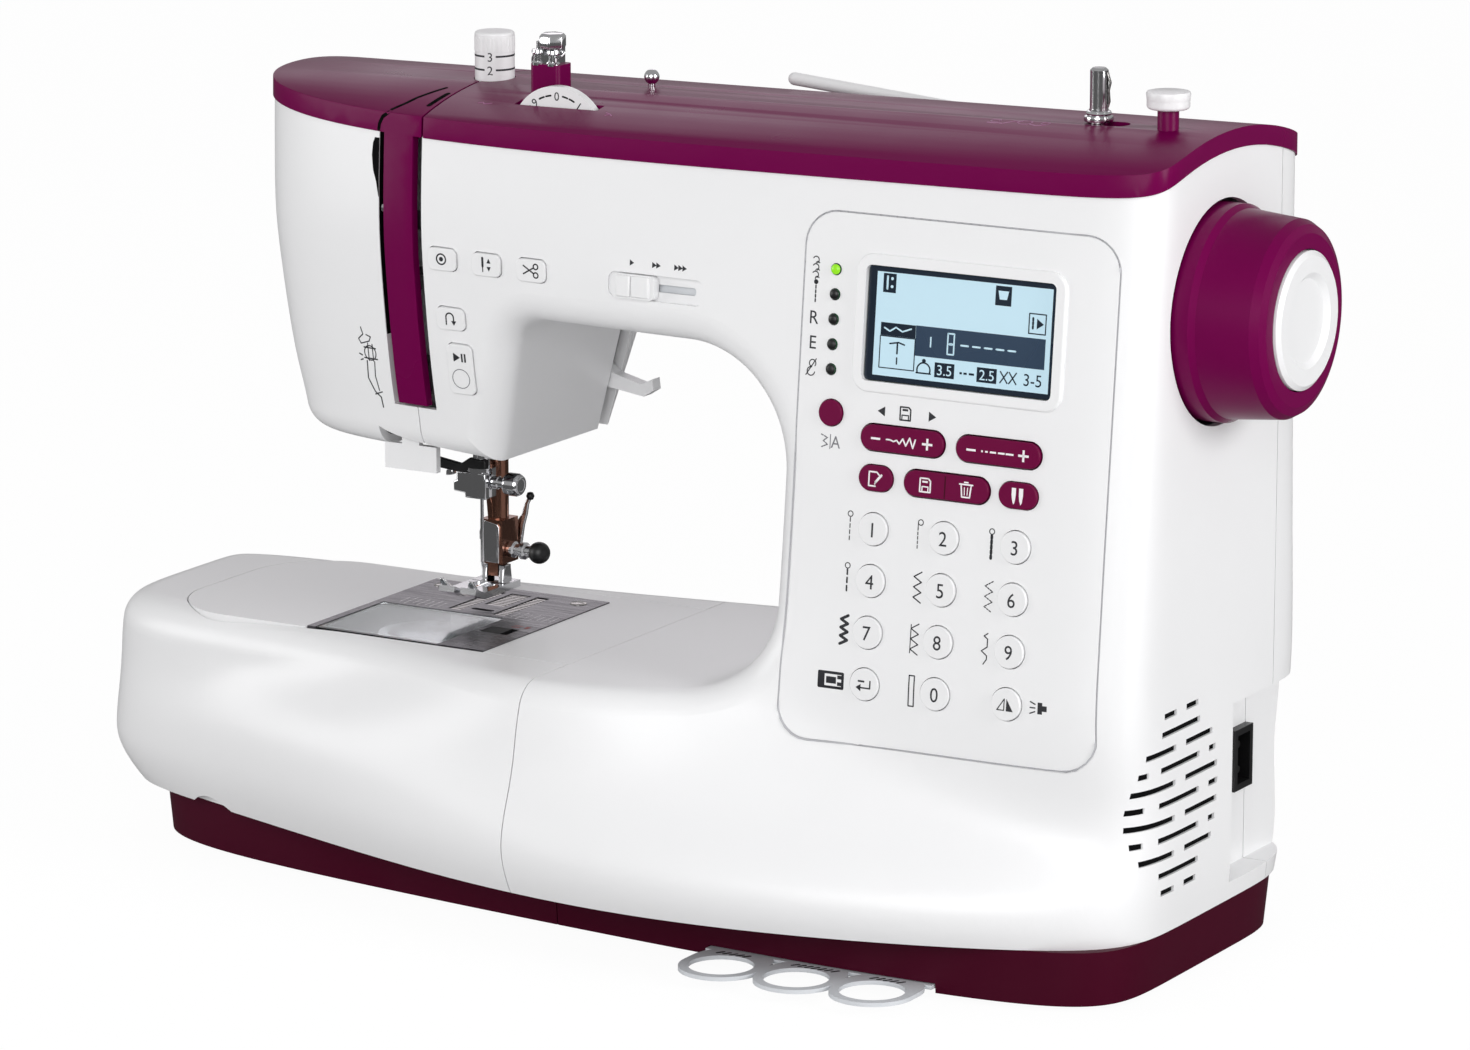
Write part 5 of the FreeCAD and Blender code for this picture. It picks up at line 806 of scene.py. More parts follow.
@dataclass
class Head:
    """Buttons, slider and face cover of the sewing head, in millimetres."""

    diagram_x: float = -112.0
    diagram_z: float = 177.0
    mark_z: float = 226.2
    mark_xs: tuple[float, float, float] = (1.3, 10.9, 20.3)
    slot_left: float = -103.2
    slot_low: float = 190.0
    slot_high: float = 262.0
    slot_steps: int = 36
    slot_gap: float = 0.02
    slot_probe: float = 0.5
    lining_thick: float = 0.12
    lining_near: float = 0.25
    lining_deep: float = 2.8
    notch: tuple[Point2, ...] = (
        (238.0, 0.2), (243.0, 1.2), (247.0, 2.6), (252.0, 3.2), (256.0, 2.8), (258.0, 2.0)
    )
    notch_split: int = 4
    rise_path: tuple[Point2, ...] = ((-103.2, 261.0), (-102.9, 263.0), (-101.6, 265.4), (-98.9, 267.2))
    over_path: tuple[Point2, ...] = (
        (-99.0, -25.3), (-96.8, -20.0), (-95.6, -15.0), (-93.1, -8.7), (-91.2, -4.0)
    )
    second_path: tuple[Point2, ...] = ((-87.4, -20.5), (-86.9, -9.5))
    pads: tuple[tuple[str, float, float, float], ...] = (("left", -3.4, 2.7, 1.1), ("right", 3.0, 3.4, 0.8))
    pad_half: float = 3.6
    pad_low: float = -0.6
    shutter_half: Point2 = (28.0, 1.7)
    shutter_levels: Point2 = (-5.4, -4.9)

    def build(self) -> None:
        """Prints the head, dresses the speed slider and paints the shade of the thread slot."""
        self.button_marks()
        self.slider()
        self.thread_slots()
        self.diagram()

    def button_marks(self) -> None:
        """Prints a symbol on each of the five head buttons."""
        lock = Ink().arc(0, 0, 1.8, 0, 360, 0.5).dot(0, 0, 0.8)
        lock.press("lock_symbol", "lock_button")
        needle = Ink().line([(-1.1, 2.3), (-1.1, -0.6)], 0.8).line([(-1.1, -0.6), (-1.1, -2.4)], 0.35)
        needle.poly((0.5, 0.6), (2.1, 0.6), (1.3, 2.2)).poly((0.5, -0.6), (1.3, -2.2), (2.1, -0.6))
        needle.press("needle_position_symbol", "needle_position_button")
        cutter = Ink().line([(-2.6, 1.6), (1.4, -0.9)], 0.5).line([(-2.6, -1.2), (1.4, 1.1)], 0.5)
        cutter.arc(2.2, 1.5, 0.9, 0, 360, 0.45).arc(2.2, -1.4, 0.9, 0, 360, 0.45)
        cutter.press("cutter_symbol", "cutter_button")
        back = Ink().dashes(-1.5, -2.2, -1.5, 0.4, 3, 0.5).arc(0, 0.4, 1.5, 180, 0, 0.5)
        back.line([(1.5, 0.4), (1.5, -1.0)], 0.5).poly((0.5, -0.8), (1.5, -2.4), (2.5, -0.8))
        back.press("reverse_symbol", "reverse_button")
        start = Ink().poly((-2.3, 5.6), (-2.3, 2.4), (0.3, 4.0))
        start.block(1.1, 4.0, 0.65, 3.0).block(2.3, 4.0, 0.65, 3.0)
        start.press("start_stop_symbol", "start_stop_button")
        # The dimple of the start button is only painted shade: a grey ring where its rim would darken.
        ring = Ink().arc(0, -3.6, 3.4, 0, 360, 0.3)
        ring.press("start_stop_dimple_shade", "start_stop_button", INK_GREY, "white_button", 0.02)

    def slider(self) -> None:
        """Prints the speed marks and adds the two pads and the shutter of the knob."""
        marks = Ink()
        for count, x in enumerate(self.mark_xs, 1):
            for i in range(count):
                left = x - count * 0.8 + i * 1.6
                marks.poly((left, -1.0), (left + 1.7, 0), (left, 1.0))
        marks.print_front("speed_marks", "front_cover", (0.0, self.mark_z))
        place = crest_placer("speed_slider", facing("speed_slider"))
        for name, x, half, rise in self.pads:
            outline = rectangle(x - half, -self.pad_half, x + half, self.pad_half)
            pad = slab(outline, place, self.pad_low, rise)
            soften(add_piece(f"slider_pad_{name}", pad, WHITE_KEY, "speed_slider"), 0.6)
        a, b = self.shutter_half
        shutter = slab(rectangle(-a, -b, a, b), place, *self.shutter_levels)
        soften(add_piece("slider_shutter", shutter, CARD, "speed_slider"), 0.1)

    def thread_slots(self) -> None:
        """Paints the shade in the slot beside the strip and where it runs on over the top."""
        self.lining()
        # The notch, the rise and the lines over the top are painted shade of the slot's opening, drawn in matte
        # black.
        notch = Ink()
        parts = self.notch_split
        for (z0, w0), (z1, w1) in zip(self.notch, self.notch[1:]):
            for i in range(parts):
                low, high = z0 + (z1 - z0) * i / parts, z0 + (z1 - z0) * (i + 1) / parts
                wide, next_wide = w0 + (w1 - w0) * i / parts, w0 + (w1 - w0) * (i + 1) / parts
                notch.poly((-wide, low), (-self.slot_gap, low), (-self.slot_gap, high), (-next_wide, high))
        notch.print_front("thread_slot_notch_shade", "face_cover", (self.slot_left, 0.0), SLOT_SHADE, "black_plastic")
        rise = Ink().line(fine(self.rise_path), 1.3)
        rise.print_front("thread_slot_rise_shade", "head_cap", (0.0, 0.0), SLOT_SHADE, "black_plastic")
        over = Ink().line(fine(self.over_path), 1.5).line(fine(self.second_path), 1.9)
        over.print_top("thread_slot_top_shade", "head_cap", (0.0, 0.0), SLOT_SHADE, "black_plastic")

    def lining(self) -> None:
        """Paints the shade of the slot as a dark strip along its left wall that follows the face cover."""
        tree = surface("face_cover")
        lining = bmesh.new()
        rings = []
        left = self.slot_left + self.slot_gap
        right = left + self.lining_thick
        for i in range(self.slot_steps + 1):
            z = self.slot_low + (self.slot_high - self.slot_low) * i / self.slot_steps
            spot = tree.ray_cast(Vector(((self.slot_left - self.slot_probe) * MM, RAY_FRONT, z * MM)), REAR)[0]
            if spot is None:
                break
            near, far = spot.y / MM + self.lining_near, spot.y / MM + self.lining_deep
            corners = rectangle(left, near, right, far)
            rings.append([lining.verts.new((a * MM, b * MM, z * MM)) for a, b in corners])
        close_rings(lining, rings)
        add_piece("thread_slot_painted_shade", lining, SLOT_SHADE, "machine")

    def diagram(self) -> None:
        """Prints a plain threading diagram on the face cover."""
        hand = [(-3.0, 14.0), (-2.2, 11.6), (-4.4, 9.8), (-3.4, 8.2), (0.4, 9.4), (1.2, 11.0), (-0.8, 11.6)]
        ink = Ink().line(hand, 0.42).arc(0.4, 5.2, 2.6, 0, 360, 0.4)
        ink.line([(-2.4, 3.2), (3.4, 3.2)], 0.5).line([(-2.2, 7.0), (3.0, 7.0)], 0.5)
        ink.line([(-0.4, 8.6), (-0.4, 2.4)], 0.4).line([(1.6, 8.4), (1.6, 2.4)], 0.4)
        ink.line([(-1.4, 2.2), (-1.8, -4.0), (0.6, -8.6), (3.0, -10.4), (3.4, -14.0)], 0.5)
        ink.line([(2.0, 2.2), (1.6, -3.0), (2.6, -8.0)], 0.42).line([(0.6, -9.6), (3.8, -8.4)], 0.42)
        ink.line([(-4.6, 4.4), (-3.4, 4.0)], 0.5).line([(-4.2, 2.2), (-3.2, 2.6)], 0.5)
        ink.print_front("threading_diagram", "face_cover", (self.diagram_x, self.diagram_z))


def grow(
    name: str, tree: bpy.types.NodeTree, values: dict[str, Any], body: str, edge: float
) -> bpy.types.Object:
    """Runs a node tree and keeps its result as a plain mesh.

    Args:
        name: Name of the piece.
        tree: Node tree that makes the geometry.
        values: Input name to its value.
        body: CAD body that carries the piece.
        edge: Edge rounding in millimetres.

    Returns:
        The finished piece.
    """
    holder = bpy.data.objects.new(name, bpy.data.meshes.new(name))
    bpy.context.scene.collection.objects.link(holder)
    rule = holder.modifiers.new("rule", "NODES")
    rule.node_group = tree
    for item in tree.interface.items_tree:
        if item.in_out == "INPUT":
            rule[item.identifier] = values[item.name]
    mesh = bpy.data.meshes.new_from_object(holder.evaluated_get(bpy.context.evaluated_depsgraph_get()))
    holder.modifiers.clear()
    holder.data = mesh
    rounding = holder.modifiers.new("softened", "BEVEL")
    rounding.width = edge * MM
    rounding.segments = 2
    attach(holder, body)
    LOG.info("node tree piece %s rides on %s", name, body)
    return holder


def lathe(profile: Sequence[Point2], foot: Vector, axis: Vector, steps: int = 48) -> bmesh.types.BMesh:
    """Turns a closed profile about an axis.

    Args:
        profile: Radius and height pairs in millimetres, from the axis and back to it.
        foot: Foot of the axis in millimetres.
        axis: Unit direction of the axis.
        steps: Number of steps round.

    Returns:
        A closed mesh in metres.
    """
    mesh = bmesh.new()
    side = axis.orthogonal().normalized()
    other = axis.cross(side)
    rings = []
    for radius, height in profile:
        centre = foot + axis * height
        if radius < 1e-6:
            rings.append([mesh.verts.new(centre * MM)])
            continue
        ring = []
        for i in range(steps):
            t = 2 * math.pi * i / steps
            spot = centre + (side * math.cos(t) + other * math.sin(t)) * radius
            ring.append(mesh.verts.new(spot * MM))
        rings.append(ring)
    for low, high in zip(rings, rings[1:]):
        for i in range(steps):
            j = (i + 1) % steps
            corners = [low[i % len(low)], low[j % len(low)], high[j % len(high)], high[i % len(high)]]
            unique = list(dict.fromkeys(corners))
            if len(unique) > 2:
                mesh.faces.new(unique)
    bmesh.ops.recalc_face_normals(mesh, faces=mesh.faces)
    return mesh


def close_rings(mesh: bmesh.types.BMesh, rings: Sequence[Sequence[bmesh.types.BMVert]]) -> None:
    """Skins a row of four-cornered rings and closes its two ends."""
    for near, far in zip(rings, rings[1:]):
        for i in range(4):
            mesh.faces.new((near[i], near[(i + 1) % 4], far[(i + 1) % 4], far[i]))
    mesh.faces.new(rings[0][::-1])
    mesh.faces.new(rings[-1])
    bmesh.ops.recalc_face_normals(mesh, faces=mesh.faces)


def strip(points: Sequence[Vector], widths: Sequence[Point2], across: Vector) -> bmesh.types.BMesh:
    """Sweeps a rectangle along a path.

    Args:
        points: Path in millimetres.
        widths: Width across and thickness at each point.
        across: Unit direction of the width.

    Returns:
        A closed mesh in metres.
    """
    mesh = bmesh.new()
    rings = []
    for i, point in enumerate(points):
        run = (points[min(i + 1, len(points) - 1)] - points[max(i - 1, 0)]).normalized()
        thick = run.cross(across).normalized()
        wide, deep = widths[i]
        half, flat = across * wide / 2, thick * deep / 2
        rings.append([mesh.verts.new((point + half * a + flat * b) * MM) for a, b in rectangle(-1, -1, 1, 1)])
    close_rings(mesh, rings)
    return mesh


def slab(outline: Sequence[Point2], place: Placer, low: float, high: float) -> bmesh.types.BMesh:
    """Raises a flat outline between two heights over a surface.

    Args:
        outline: Corners in millimetres, anticlockwise seen from outside.
        place: Surface that carries it.
        low: Lower height in millimetres.
        high: Upper height in millimetres.

    Returns:
        A closed mesh in metres.
    """
    mesh = bmesh.new()
    under = [mesh.verts.new(place(x, y, low)) for x, y in outline]
    over = [mesh.verts.new(place(x, y, high)) for x, y in outline]
    mesh.faces.new(over)
    mesh.faces.new(under[::-1])
    for i in range(len(outline)):
        j = (i + 1) % len(outline)
        mesh.faces.new((under[i], under[j], over[j], over[i]))
    bmesh.ops.recalc_face_normals(mesh, faces=mesh.faces)
    return mesh


def soften(piece: bpy.types.Object, width: float, segments: int = 3) -> bpy.types.Object:
    """Rounds the sharp edges of a piece by a width in millimetres."""
    edge = piece.modifiers.new("softened", "BEVEL")
    edge.width = width * MM
    edge.segments = segments
    edge.limit_method = "ANGLE"
    edge.angle_limit = math.radians(BEVEL_ANGLE)
    smooth(piece, SHADE_ANGLE)
    return piece


def plated(name: str, mesh: bmesh.types.BMesh, body: str, edge: float) -> bpy.types.Object:
    """Adds a chrome-plated piece whose edges are rounded by a width in millimetres."""
    return soften(add_piece(name, mesh, CHROME, body), edge)


def turned(
    name: str,
    mesh: bmesh.types.BMesh,
    body: str,
    finish: Finish = CHROME,
    angle: float = 30.0,
) -> None:
    """Adds a lathe piece that is shaded smoothly up to an angle in degrees."""
    smooth(add_piece(name, mesh, finish, body), angle)


def drum_placer(x: float, y: float, z: float, radius: float, turn: float) -> Placer:
    """Wraps drawings round an upright drum; turn is the angle of the drawing's middle in degrees."""

    def place(u: float, v: float, h: float) -> Vector:
        angle = math.radians(turn) + u / radius
        reach = radius + h
        return Vector((x + reach * math.cos(angle), y + reach * math.sin(angle), z + v)) * MM

    return place


@dataclass
class TopFittings:
    """Dials, guides and bobbin winder on the purple top, in millimetres."""

    pressure_at: Point2 = (-83.0, 14.0)
    pressure_radius: float = 6.8
    tension_at: Point2 = (-41.0, -12.0)
    tension_radius: float = 18.0
    tension_half: float = 1.7
    guide_at: Point2 = (-53.0, 2.0)
    guide_low: float = 283.5
    spindle_at: Point2 = (148.0, 14.0)
    spindle_radius: float = 3.0
    stop_at: Point2 = (174.0, 12.0)
    facing: float = -59.65
    pressure_tall: float = 16.0
    spindle_tall: float = 18.0
    figure_ring: float = 14.6
    mark_ring: float = 14.9
    faint_rise: float = 0.06

    def build(self) -> None:
        """Dresses the fittings one by one."""
        self.pressure_dial()
        self.tension_dial()
        self.guides()
        self.winder()
        self.prints()

    def pressure_dial(self) -> None:
        """Prints the scale rings and adds the flutes of the push dial."""
        x, y = self.pressure_at
        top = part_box("pressure_dial")[1].z / MM
        foot = top - self.pressure_tall
        scale = Ink()
        for row, body in ((3.2, "2"), (7.8, "3")):
            scale.text(body, 0, row, 3.0)
            for start, end in ((2.0, 13.0), (-13.0, -2.0)):
                steps = [start + (end - start) * i / 14 for i in range(15)]
                for a, b in zip(steps, steps[1:]):
                    scale.block((a + b) / 2, row + 0.2, b - a, 0.65)
        place = drum_placer(x, y, foot, self.pressure_radius, self.facing - 12)
        scale.lay("pressure_dial_scale", place, INK_DARK, "pressure_dial", "white_button")
        middle = (x, y, top - 4.2)
        flutes = Flutes("pressure_dial_flutes", 30, middle, self.pressure_radius, (0.28, 0.75, 5.0))
        flutes.build(WHITE_KEY, "pressure_dial", "white_button")

    def tension_dial(self) -> None:
        """Prints the scale on both faces of the tension dial."""
        x, y = self.tension_at
        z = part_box("tension_dial")[1].z / MM - self.tension_radius
        scale = Ink()
        for step in range(10):
            middle = 90 - step * 36
            turn = math.radians(middle)
            px, py = self.figure_ring * math.cos(turn), self.figure_ring * math.sin(turn)
            scale.add(Ink().text(str(step), 0, 0, 2.9), px, py, turn - math.pi / 2)
            for a, b in ((9, 16.5), (19.5, 27)):
                scale.arc(0, 0, self.mark_ring, middle - a, middle - b, 0.6)
        for name, side in (("front", -1), ("back", 1)):
            face = Vector((x, y + side * self.tension_half, z)) * MM
            place = plane_placer(face, Vector((-side, 0, 0)), UP)
            scale.lay(f"tension_dial_scale_{name}", place, INK_DARK, "tension_dial", "white_button")

    def guides(self) -> None:
        """Adds the bent plate, studs and hexagon cap of the chrome thread guide."""
        x, y = self.guide_at
        z = self.guide_low

        def path(*steps: Point3) -> list[Vector]:
            return [Vector((x + a, y + b, z + c)) for a, b, c in steps]

        bend = path((-7.6, 3.2, -6.0), (-7.6, 3.2, 1.0), (-6.6, 3.0, 3.4), (-3.4, 2.6, 5.0), (0, 2.0, 5.6))
        plated("guide_bent_plate", strip(bend, [(6.0, 0.9)] * 5, REAR), "machine", 0.3)
        stud = [(0, -0.4), (2.3, -0.4), (2.3, 0.4), (1.7, 1.0), (1.7, 3.2), (2.3, 3.8), (2.1, 4.8), (0, 5.2)]
        for index, foot in enumerate(path((-3.4, -2.6, 0), (2.6, -2.6, 0)), 1):
            turned(f"guide_stud_{index}", lathe(stud, foot, UP), "machine", angle=35.0)
        cap = [(0, 5.2), (4.3, 5.2), (4.7, 6.2), (4.7, 9.4), (3.8, 10.4), (0, 10.6)]
        plated("guide_hexagon_cap", lathe(cap, Vector((x + 1.4, y - 1.0, z)), UP, 6), "machine", 0.35)
        spring = path((4.0, -3.6, 2.6), (6.4, -3.4, 3.2), (6.9, -2.6, 4.4), (5.4, -2.0, 4.8))
        plated("guide_wire_end", strip(spring, [(0.8, 0.8)] * 4, UP), "machine", 0.2)

    def winder(self) -> None:
        """Adds the collar and spring of the spindle, the painted shade of its slit and the flared stop knob."""
        x, y = self.spindle_at
        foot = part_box("winder_spindle")[1].z / MM - self.spindle_tall
        collar = [(0, 0.6), (4.7, 0.6), (4.9, 1.2), (4.7, 2.2), (4.0, 2.6)]
        collar += [(4.2, 3.2), (3.9, 3.9), (3.2, 4.1), (3.2, 4.6), (0, 4.7)]
        turned("spindle_collar", lathe(collar, Vector((x, y, foot)), UP), "winder")
        turn = math.radians(self.facing + 70)
        out = Vector((math.cos(turn), math.sin(turn), 0))
        middle = Vector((x, y, 0))
        bow = ((2.9, 5.0), (3.5, 7.0), (3.2, 10.5), (3.8, 13.2), (3.1, 15.4), (2.8, 16.6))
        path = [middle + out * r + UP * (foot + h) for r, h in bow]
        spring = strip(path, [(1.5, 0.5)] * 6, UP.cross(out))
        soften(add_piece("spindle_spring", spring, STEEL, "winder"), 0.15)
        # The spindle's slit is painted shade: a black strip wrapped on the spindle, not a cut.
        slit = Ink().block(0, 0, 0.9, 12.0)
        place = drum_placer(x, y, foot + 11.0, self.spindle_radius, self.facing + 62)
        slit.lay("spindle_slit_shade", place, BLACK, "winder", "bright_steel", 0.03)
        head = Vector((*self.stop_at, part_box("spool_pin")[1].z / MM))
        knob = [(0, -5.6), (3.4, -5.6), (5.6, -5.3), (6.6, -4.3), (7.0, -2.6)]
        knob += [(7.25, -0.5), (7.0, 0.15), (6.3, 0.3), (0, 0.1)]
        turned("winder_stop_cap", lathe(knob, head, UP), "machine", WHITE_KEY, 40.0)

    def prints(self) -> None:
        """Prints the pale winding picture and the small marks beside the tension dial."""
        picture = Ink().line([(-9, -2.6), (-4, -2.6)], 0.8).arc(-7.5, 0.4, 1.6, 0, 360, 0.6)
        picture.line([(-3.4, -2.2), (-1.0, 1.4), (1.4, 1.8)], 0.6)
        picture.arc(3.0, 0.6, 2.4, 200, -120, 0.6).line([(5.0, -0.8), (8.4, -2.4), (11.0, -0.6)], 0.6)
        picture.arc(10.2, 1.2, 1.4, 0, 360, 0.5)
        small = Ink().line([(-2.4, 0), (-1.0, 0.9), (0.2, -0.5), (2.6, 0.6)], 0.4)
        other = Ink().line([(-1.6, 1.0), (0.4, 0.2), (1.8, -1.2)], 0.4)
        other.line([(0.4, 0.2), (-0.6, -1.2)], 0.4)
        for name, ink, at in (
            ("winding_picture", picture, (122.0, 6.0)),
            ("dial_mark_left", small, (-68.5, -15.5)),
            ("dial_mark_right", other, (-19.0, -16.5)),
        ):
            ink.print_top(name, "top_cover", at, INK_FAINT, "purple_abs", self.faint_rise)


@dataclass
class Flutes:
    """Ring of upright flutes round a drum, made with a node tree, in millimetres."""

    name: str
    count: int
    middle: Point3
    radius: float
    size: Point3
    edge: float = 0.12

    def tree(self, finish: Finish) -> bpy.types.NodeTree:
        """Builds the node tree with named inputs for its sizes."""
        tree = bpy.data.node_groups.new(self.name + "_rule", "GeometryNodeTree")
        for label, kind in (("Count", "Int"), ("Radius", "Float"), ("Middle", "Vector"), ("Size", "Vector")):
            tree.interface.new_socket(label, in_out="INPUT", socket_type=f"NodeSocket{kind}")
        tree.interface.new_socket("Geometry", in_out="OUTPUT", socket_type="NodeSocketGeometry")
        given = add_node(tree, "NodeGroupInput").outputs
        circle = {"Vertices": given["Count"], "Radius": given["Radius"]}
        ring = add_node(tree, "GeometryNodeMeshCircle", circle).outputs["Mesh"]
        rib = add_node(tree, "GeometryNodeMeshCube", {"Size": given["Size"]}).outputs["Mesh"]
        spot = add_node(tree, "GeometryNodeInputPosition").outputs[0]
        turn = add_node(tree, "FunctionNodeAlignRotationToVector", {"Vector": spot}, axis="X")
        row = {"Points": ring, "Instance": rib, "Rotation": turn.outputs["Rotation"]}
        flow = add_node(tree, "GeometryNodeInstanceOnPoints", row).outputs["Instances"]
        for kind, extra in (
            ("RealizeInstances", {}),
            ("SetPosition", {"Offset": given["Middle"]}),
            ("SetMaterial", {"Material": finish.build()}),
        ):
            flow = add_node(tree, f"GeometryNode{kind}", {"Geometry": flow, **extra}).outputs["Geometry"]
        add_node(tree, "NodeGroupOutput", {"Geometry": flow})
        return tree

    def build(self, finish: Finish, body: str, slot: str) -> bpy.types.Object:
        """Makes the flutes and turns them into a plain mesh riding on a body."""
        values = {
            "Count": self.count,
            "Radius": self.radius * MM,
            "Middle": [v * MM for v in self.middle],
            "Size": [v * MM for v in self.size],
        }
        return grow(self.name, self.tree(finish), values, body, self.edge)


@dataclass
class NeedleArea:
    """Needle clamp, presser foot and needle plate, in millimetres."""

    needle_at: Point2 = (-83.0, 3.5)
    presser_y: float = 14.0
    clamp_low: float = 131.0
    sole_z: float = 97.0
    plate_z: float = 90.3
    screw_z: float = 110.25
    holder_y: float = 9.2
    holder_z: float = 105.5
    ball_radius: float = 3.85
    ball_at: float = 12.0
    ball_neck: float = 9.0
    print_rise: float = 0.03

    def build(self) -> None:
        """Dresses the needle area piece by piece."""
        self.clamp()
        self.presser()
        self.foot()
        self.plate()

    def clamp(self) -> None:
        """Adds the clamp block, the guide bar and the knurled screw head."""
        x, y = self.needle_at
        z = self.clamp_low
        flat = plane_placer(Vector((x, y - 3.2, z)) * MM, RIGHT, UP)
        block = [(-8.6, 1.4), (-4.0, 1.0), (-4.0, -0.6), (4.4, -0.6)]
        block += [(4.4, 8.6), (-7.4, 8.6), (-7.4, 5.4), (-8.6, 5.0)]
        plated("needle_clamp_block", slab(block, flat, -3.4, 1.6), "needle_bar", 0.5)
        bar = [(-23.5, 9.6), (-21.0, 9.0), (-4.6, 7.6), (3.6, 8.2), (3.8, 13.0)]
        bar += [(-3.0, 13.2), (-6.6, 10.8), (-19.5, 12.6), (-23.0, 12.2)]
        guide = slab(bar, flat, -2.0, 0.4)
        soften(add_piece("thread_guide_bar", guide, BLACK, "needle_bar"), 0.5)
        hook = [(-12.2, 6.2), (-9.2, 6.8), (-9.4, 8.6), (-12.0, 8.8)]
        plated("thread_guide_hook", slab(hook, flat, -1.6, 0.9), "needle_bar", 0.4)
        foot = Vector((x + 5.0, y, z + 5.0))
        shank = [(0, 0), (2.3, 0), (2.3, 2.0), (1.9, 2.4), (1.9, 4.4), (2.4, 4.8), (2.4, 5.2), (0, 5.2)]
        turned("clamp_screw_shank", lathe(shank, foot, RIGHT), "needle_bar")
        head = [(0, 5.0), (3.4, 5.0), (4.0, 5.6), (4.0, 9.8), (3.3, 11.0), (2.2, 11.2), (1.8, 10.6), (0, 10.6)]
        plated("clamp_screw_head", lathe(head, foot, RIGHT, 12), "needle_bar", 0.3)

    def presser(self) -> None:
        """Adds the browned sleeve, the holder plate, the release lever and the thumb ball."""
        x = self.needle_at[0]
        y = self.presser_y
        sleeve = lathe([(0, 116.0), (3.62, 116.0), (3.62, 146.0), (0, 146.0)], Vector((x, y, 0)), UP)
        turned("presser_bar_sleeve", sleeve, "presser", BROWNED)
        flat = plane_placer(Vector((x, self.holder_y, self.holder_z)) * MM, RIGHT, UP)
        cover = [(-3.6, 0.6), (3.2, 0.4), (3.4, 13.2), (2.6, 14.2), (-2.8, 15.2)]
        cover += [(-3.6, 14.4), (-4.6, 11.0), (-4.6, 8.4), (-3.8, 7.6)]
        plated("holder_front_plate", slab(cover, flat, -0.3, 0.45), "presser", 0.2)
        fin = [(-1.6, 15.6), (0.6, 15.0), (0.2, 21.0), (-0.9, 25.0), (-2.4, 24.6)]
        back = plane_placer(Vector((x - 0.4, y - 3.4, self.holder_z)) * MM, RIGHT, UP)
        spring = slab(fin, back, -0.5, 0.4)
        soften(add_piece("presser_spring_plate", spring, BROWNED, "presser"), 0.2)
        rise = [(-80.0, 20.2, 108.5), (-79.7, 20.6, 112.0), (-78.6, 21.0, 117.6)]
        rise += [(-77.0, 21.6, 121.5), (-76.4, 22.0, 125.0), (-75.4, 22.2, 127.2)]
        widths = [(wide, 1.3) for wide in (3.4, 4.4, 3.6, 2.0, 1.5, 1.5)]
        plated("foot_release_lever", strip([Vector(p) for p in rise], widths, RIGHT), "presser", 0.35)
        bead = [(0, -1.5), (1.0, -1.2), (1.5, 0), (1.0, 1.2), (0, 1.5)]
        tip = lathe(bead, Vector((-75.2, 22.3, 127.8)), UP, 16)
        turned("foot_release_tip", tip, "presser", BLACK, 60.0)
        start = Vector((x + 4.5, y, self.screw_z))
        stem = [(0, 0), (2.6, 0), (2.9, 0.5), (2.9, 2.2), (2.1, 2.8), (2.1, 4.6)]
        stem += [(3.0, 5.2), (3.0, 6.6), (2.2, 7.2), (2.2, 9.0), (0, 9.0)]
        turned("thumb_screw_stem", lathe(stem, start, RIGHT), "presser")
        turns = [math.pi * i / 14 for i in range(15)]
        ball = [(self.ball_radius * math.sin(t), self.ball_at - self.ball_radius * math.cos(t)) for t in turns]
        ball = [(0, 7.6), (1.6, 7.6), (1.6, 8.4)] + [p for p in ball if p[1] > self.ball_neck]
        turned("thumb_screw_ball", lathe(ball, start, RIGHT), "presser", BLACK, 60.0)

    def foot(self) -> None:
        """Builds the two runners, the bridge and the lugs of the zigzag foot."""
        x = self.needle_at[0]
        z = self.sole_z
        sole = [(15.8, 1.4), (13.5, 0.9), (4.0, 0.9), (-5.5, 0.9), (-8.8, 1.9), (-11.2, 4.2), (-13.0, 7.2)]
        widths = [(5.4, 1.7), (5.6, 1.7), (5.6, 1.7), (5.4, 1.7), (4.8, 1.6), (3.6, 1.3), (1.6, 0.9)]
        for name, middle, lean in (("left", -4.6, -1.6), ("right", 4.6, 1.0)):
            path = [Vector((x + middle + lean * max(0, -8 - py) / 5, py, z + pz)) for py, pz in sole]
            plated(f"foot_runner_{name}", strip(path, widths, RIGHT), "foot", 0.4)
        flat = plane_placer(Vector((x, 8.0, z)) * MM, RIGHT, REAR)
        plated("foot_bridge", slab(rectangle(-7.2, -1.0, 7.2, 7.4), flat, 0.4, 2.6), "foot", 0.6)
        plated("foot_cross_bar", slab(rectangle(-7.0, -12.6, 7.0, -10.0), flat, 0.6, 2.2), "foot", 0.5)
        lug = [(-3.2, 1.0), (3.2, 1.0), (2.4, 6.4), (1.2, 8.0), (-1.2, 8.0), (-2.4, 6.4)]
        for name, side in (("left", -1), ("right", 1)):
            face = plane_placer(Vector((x + side * 3.4, 12.5, z)) * MM, Vector((0, side, 0)), UP)
            plated(f"foot_lug_{name}", slab(lug, face, -1.0, 1.1), "foot", 0.4)

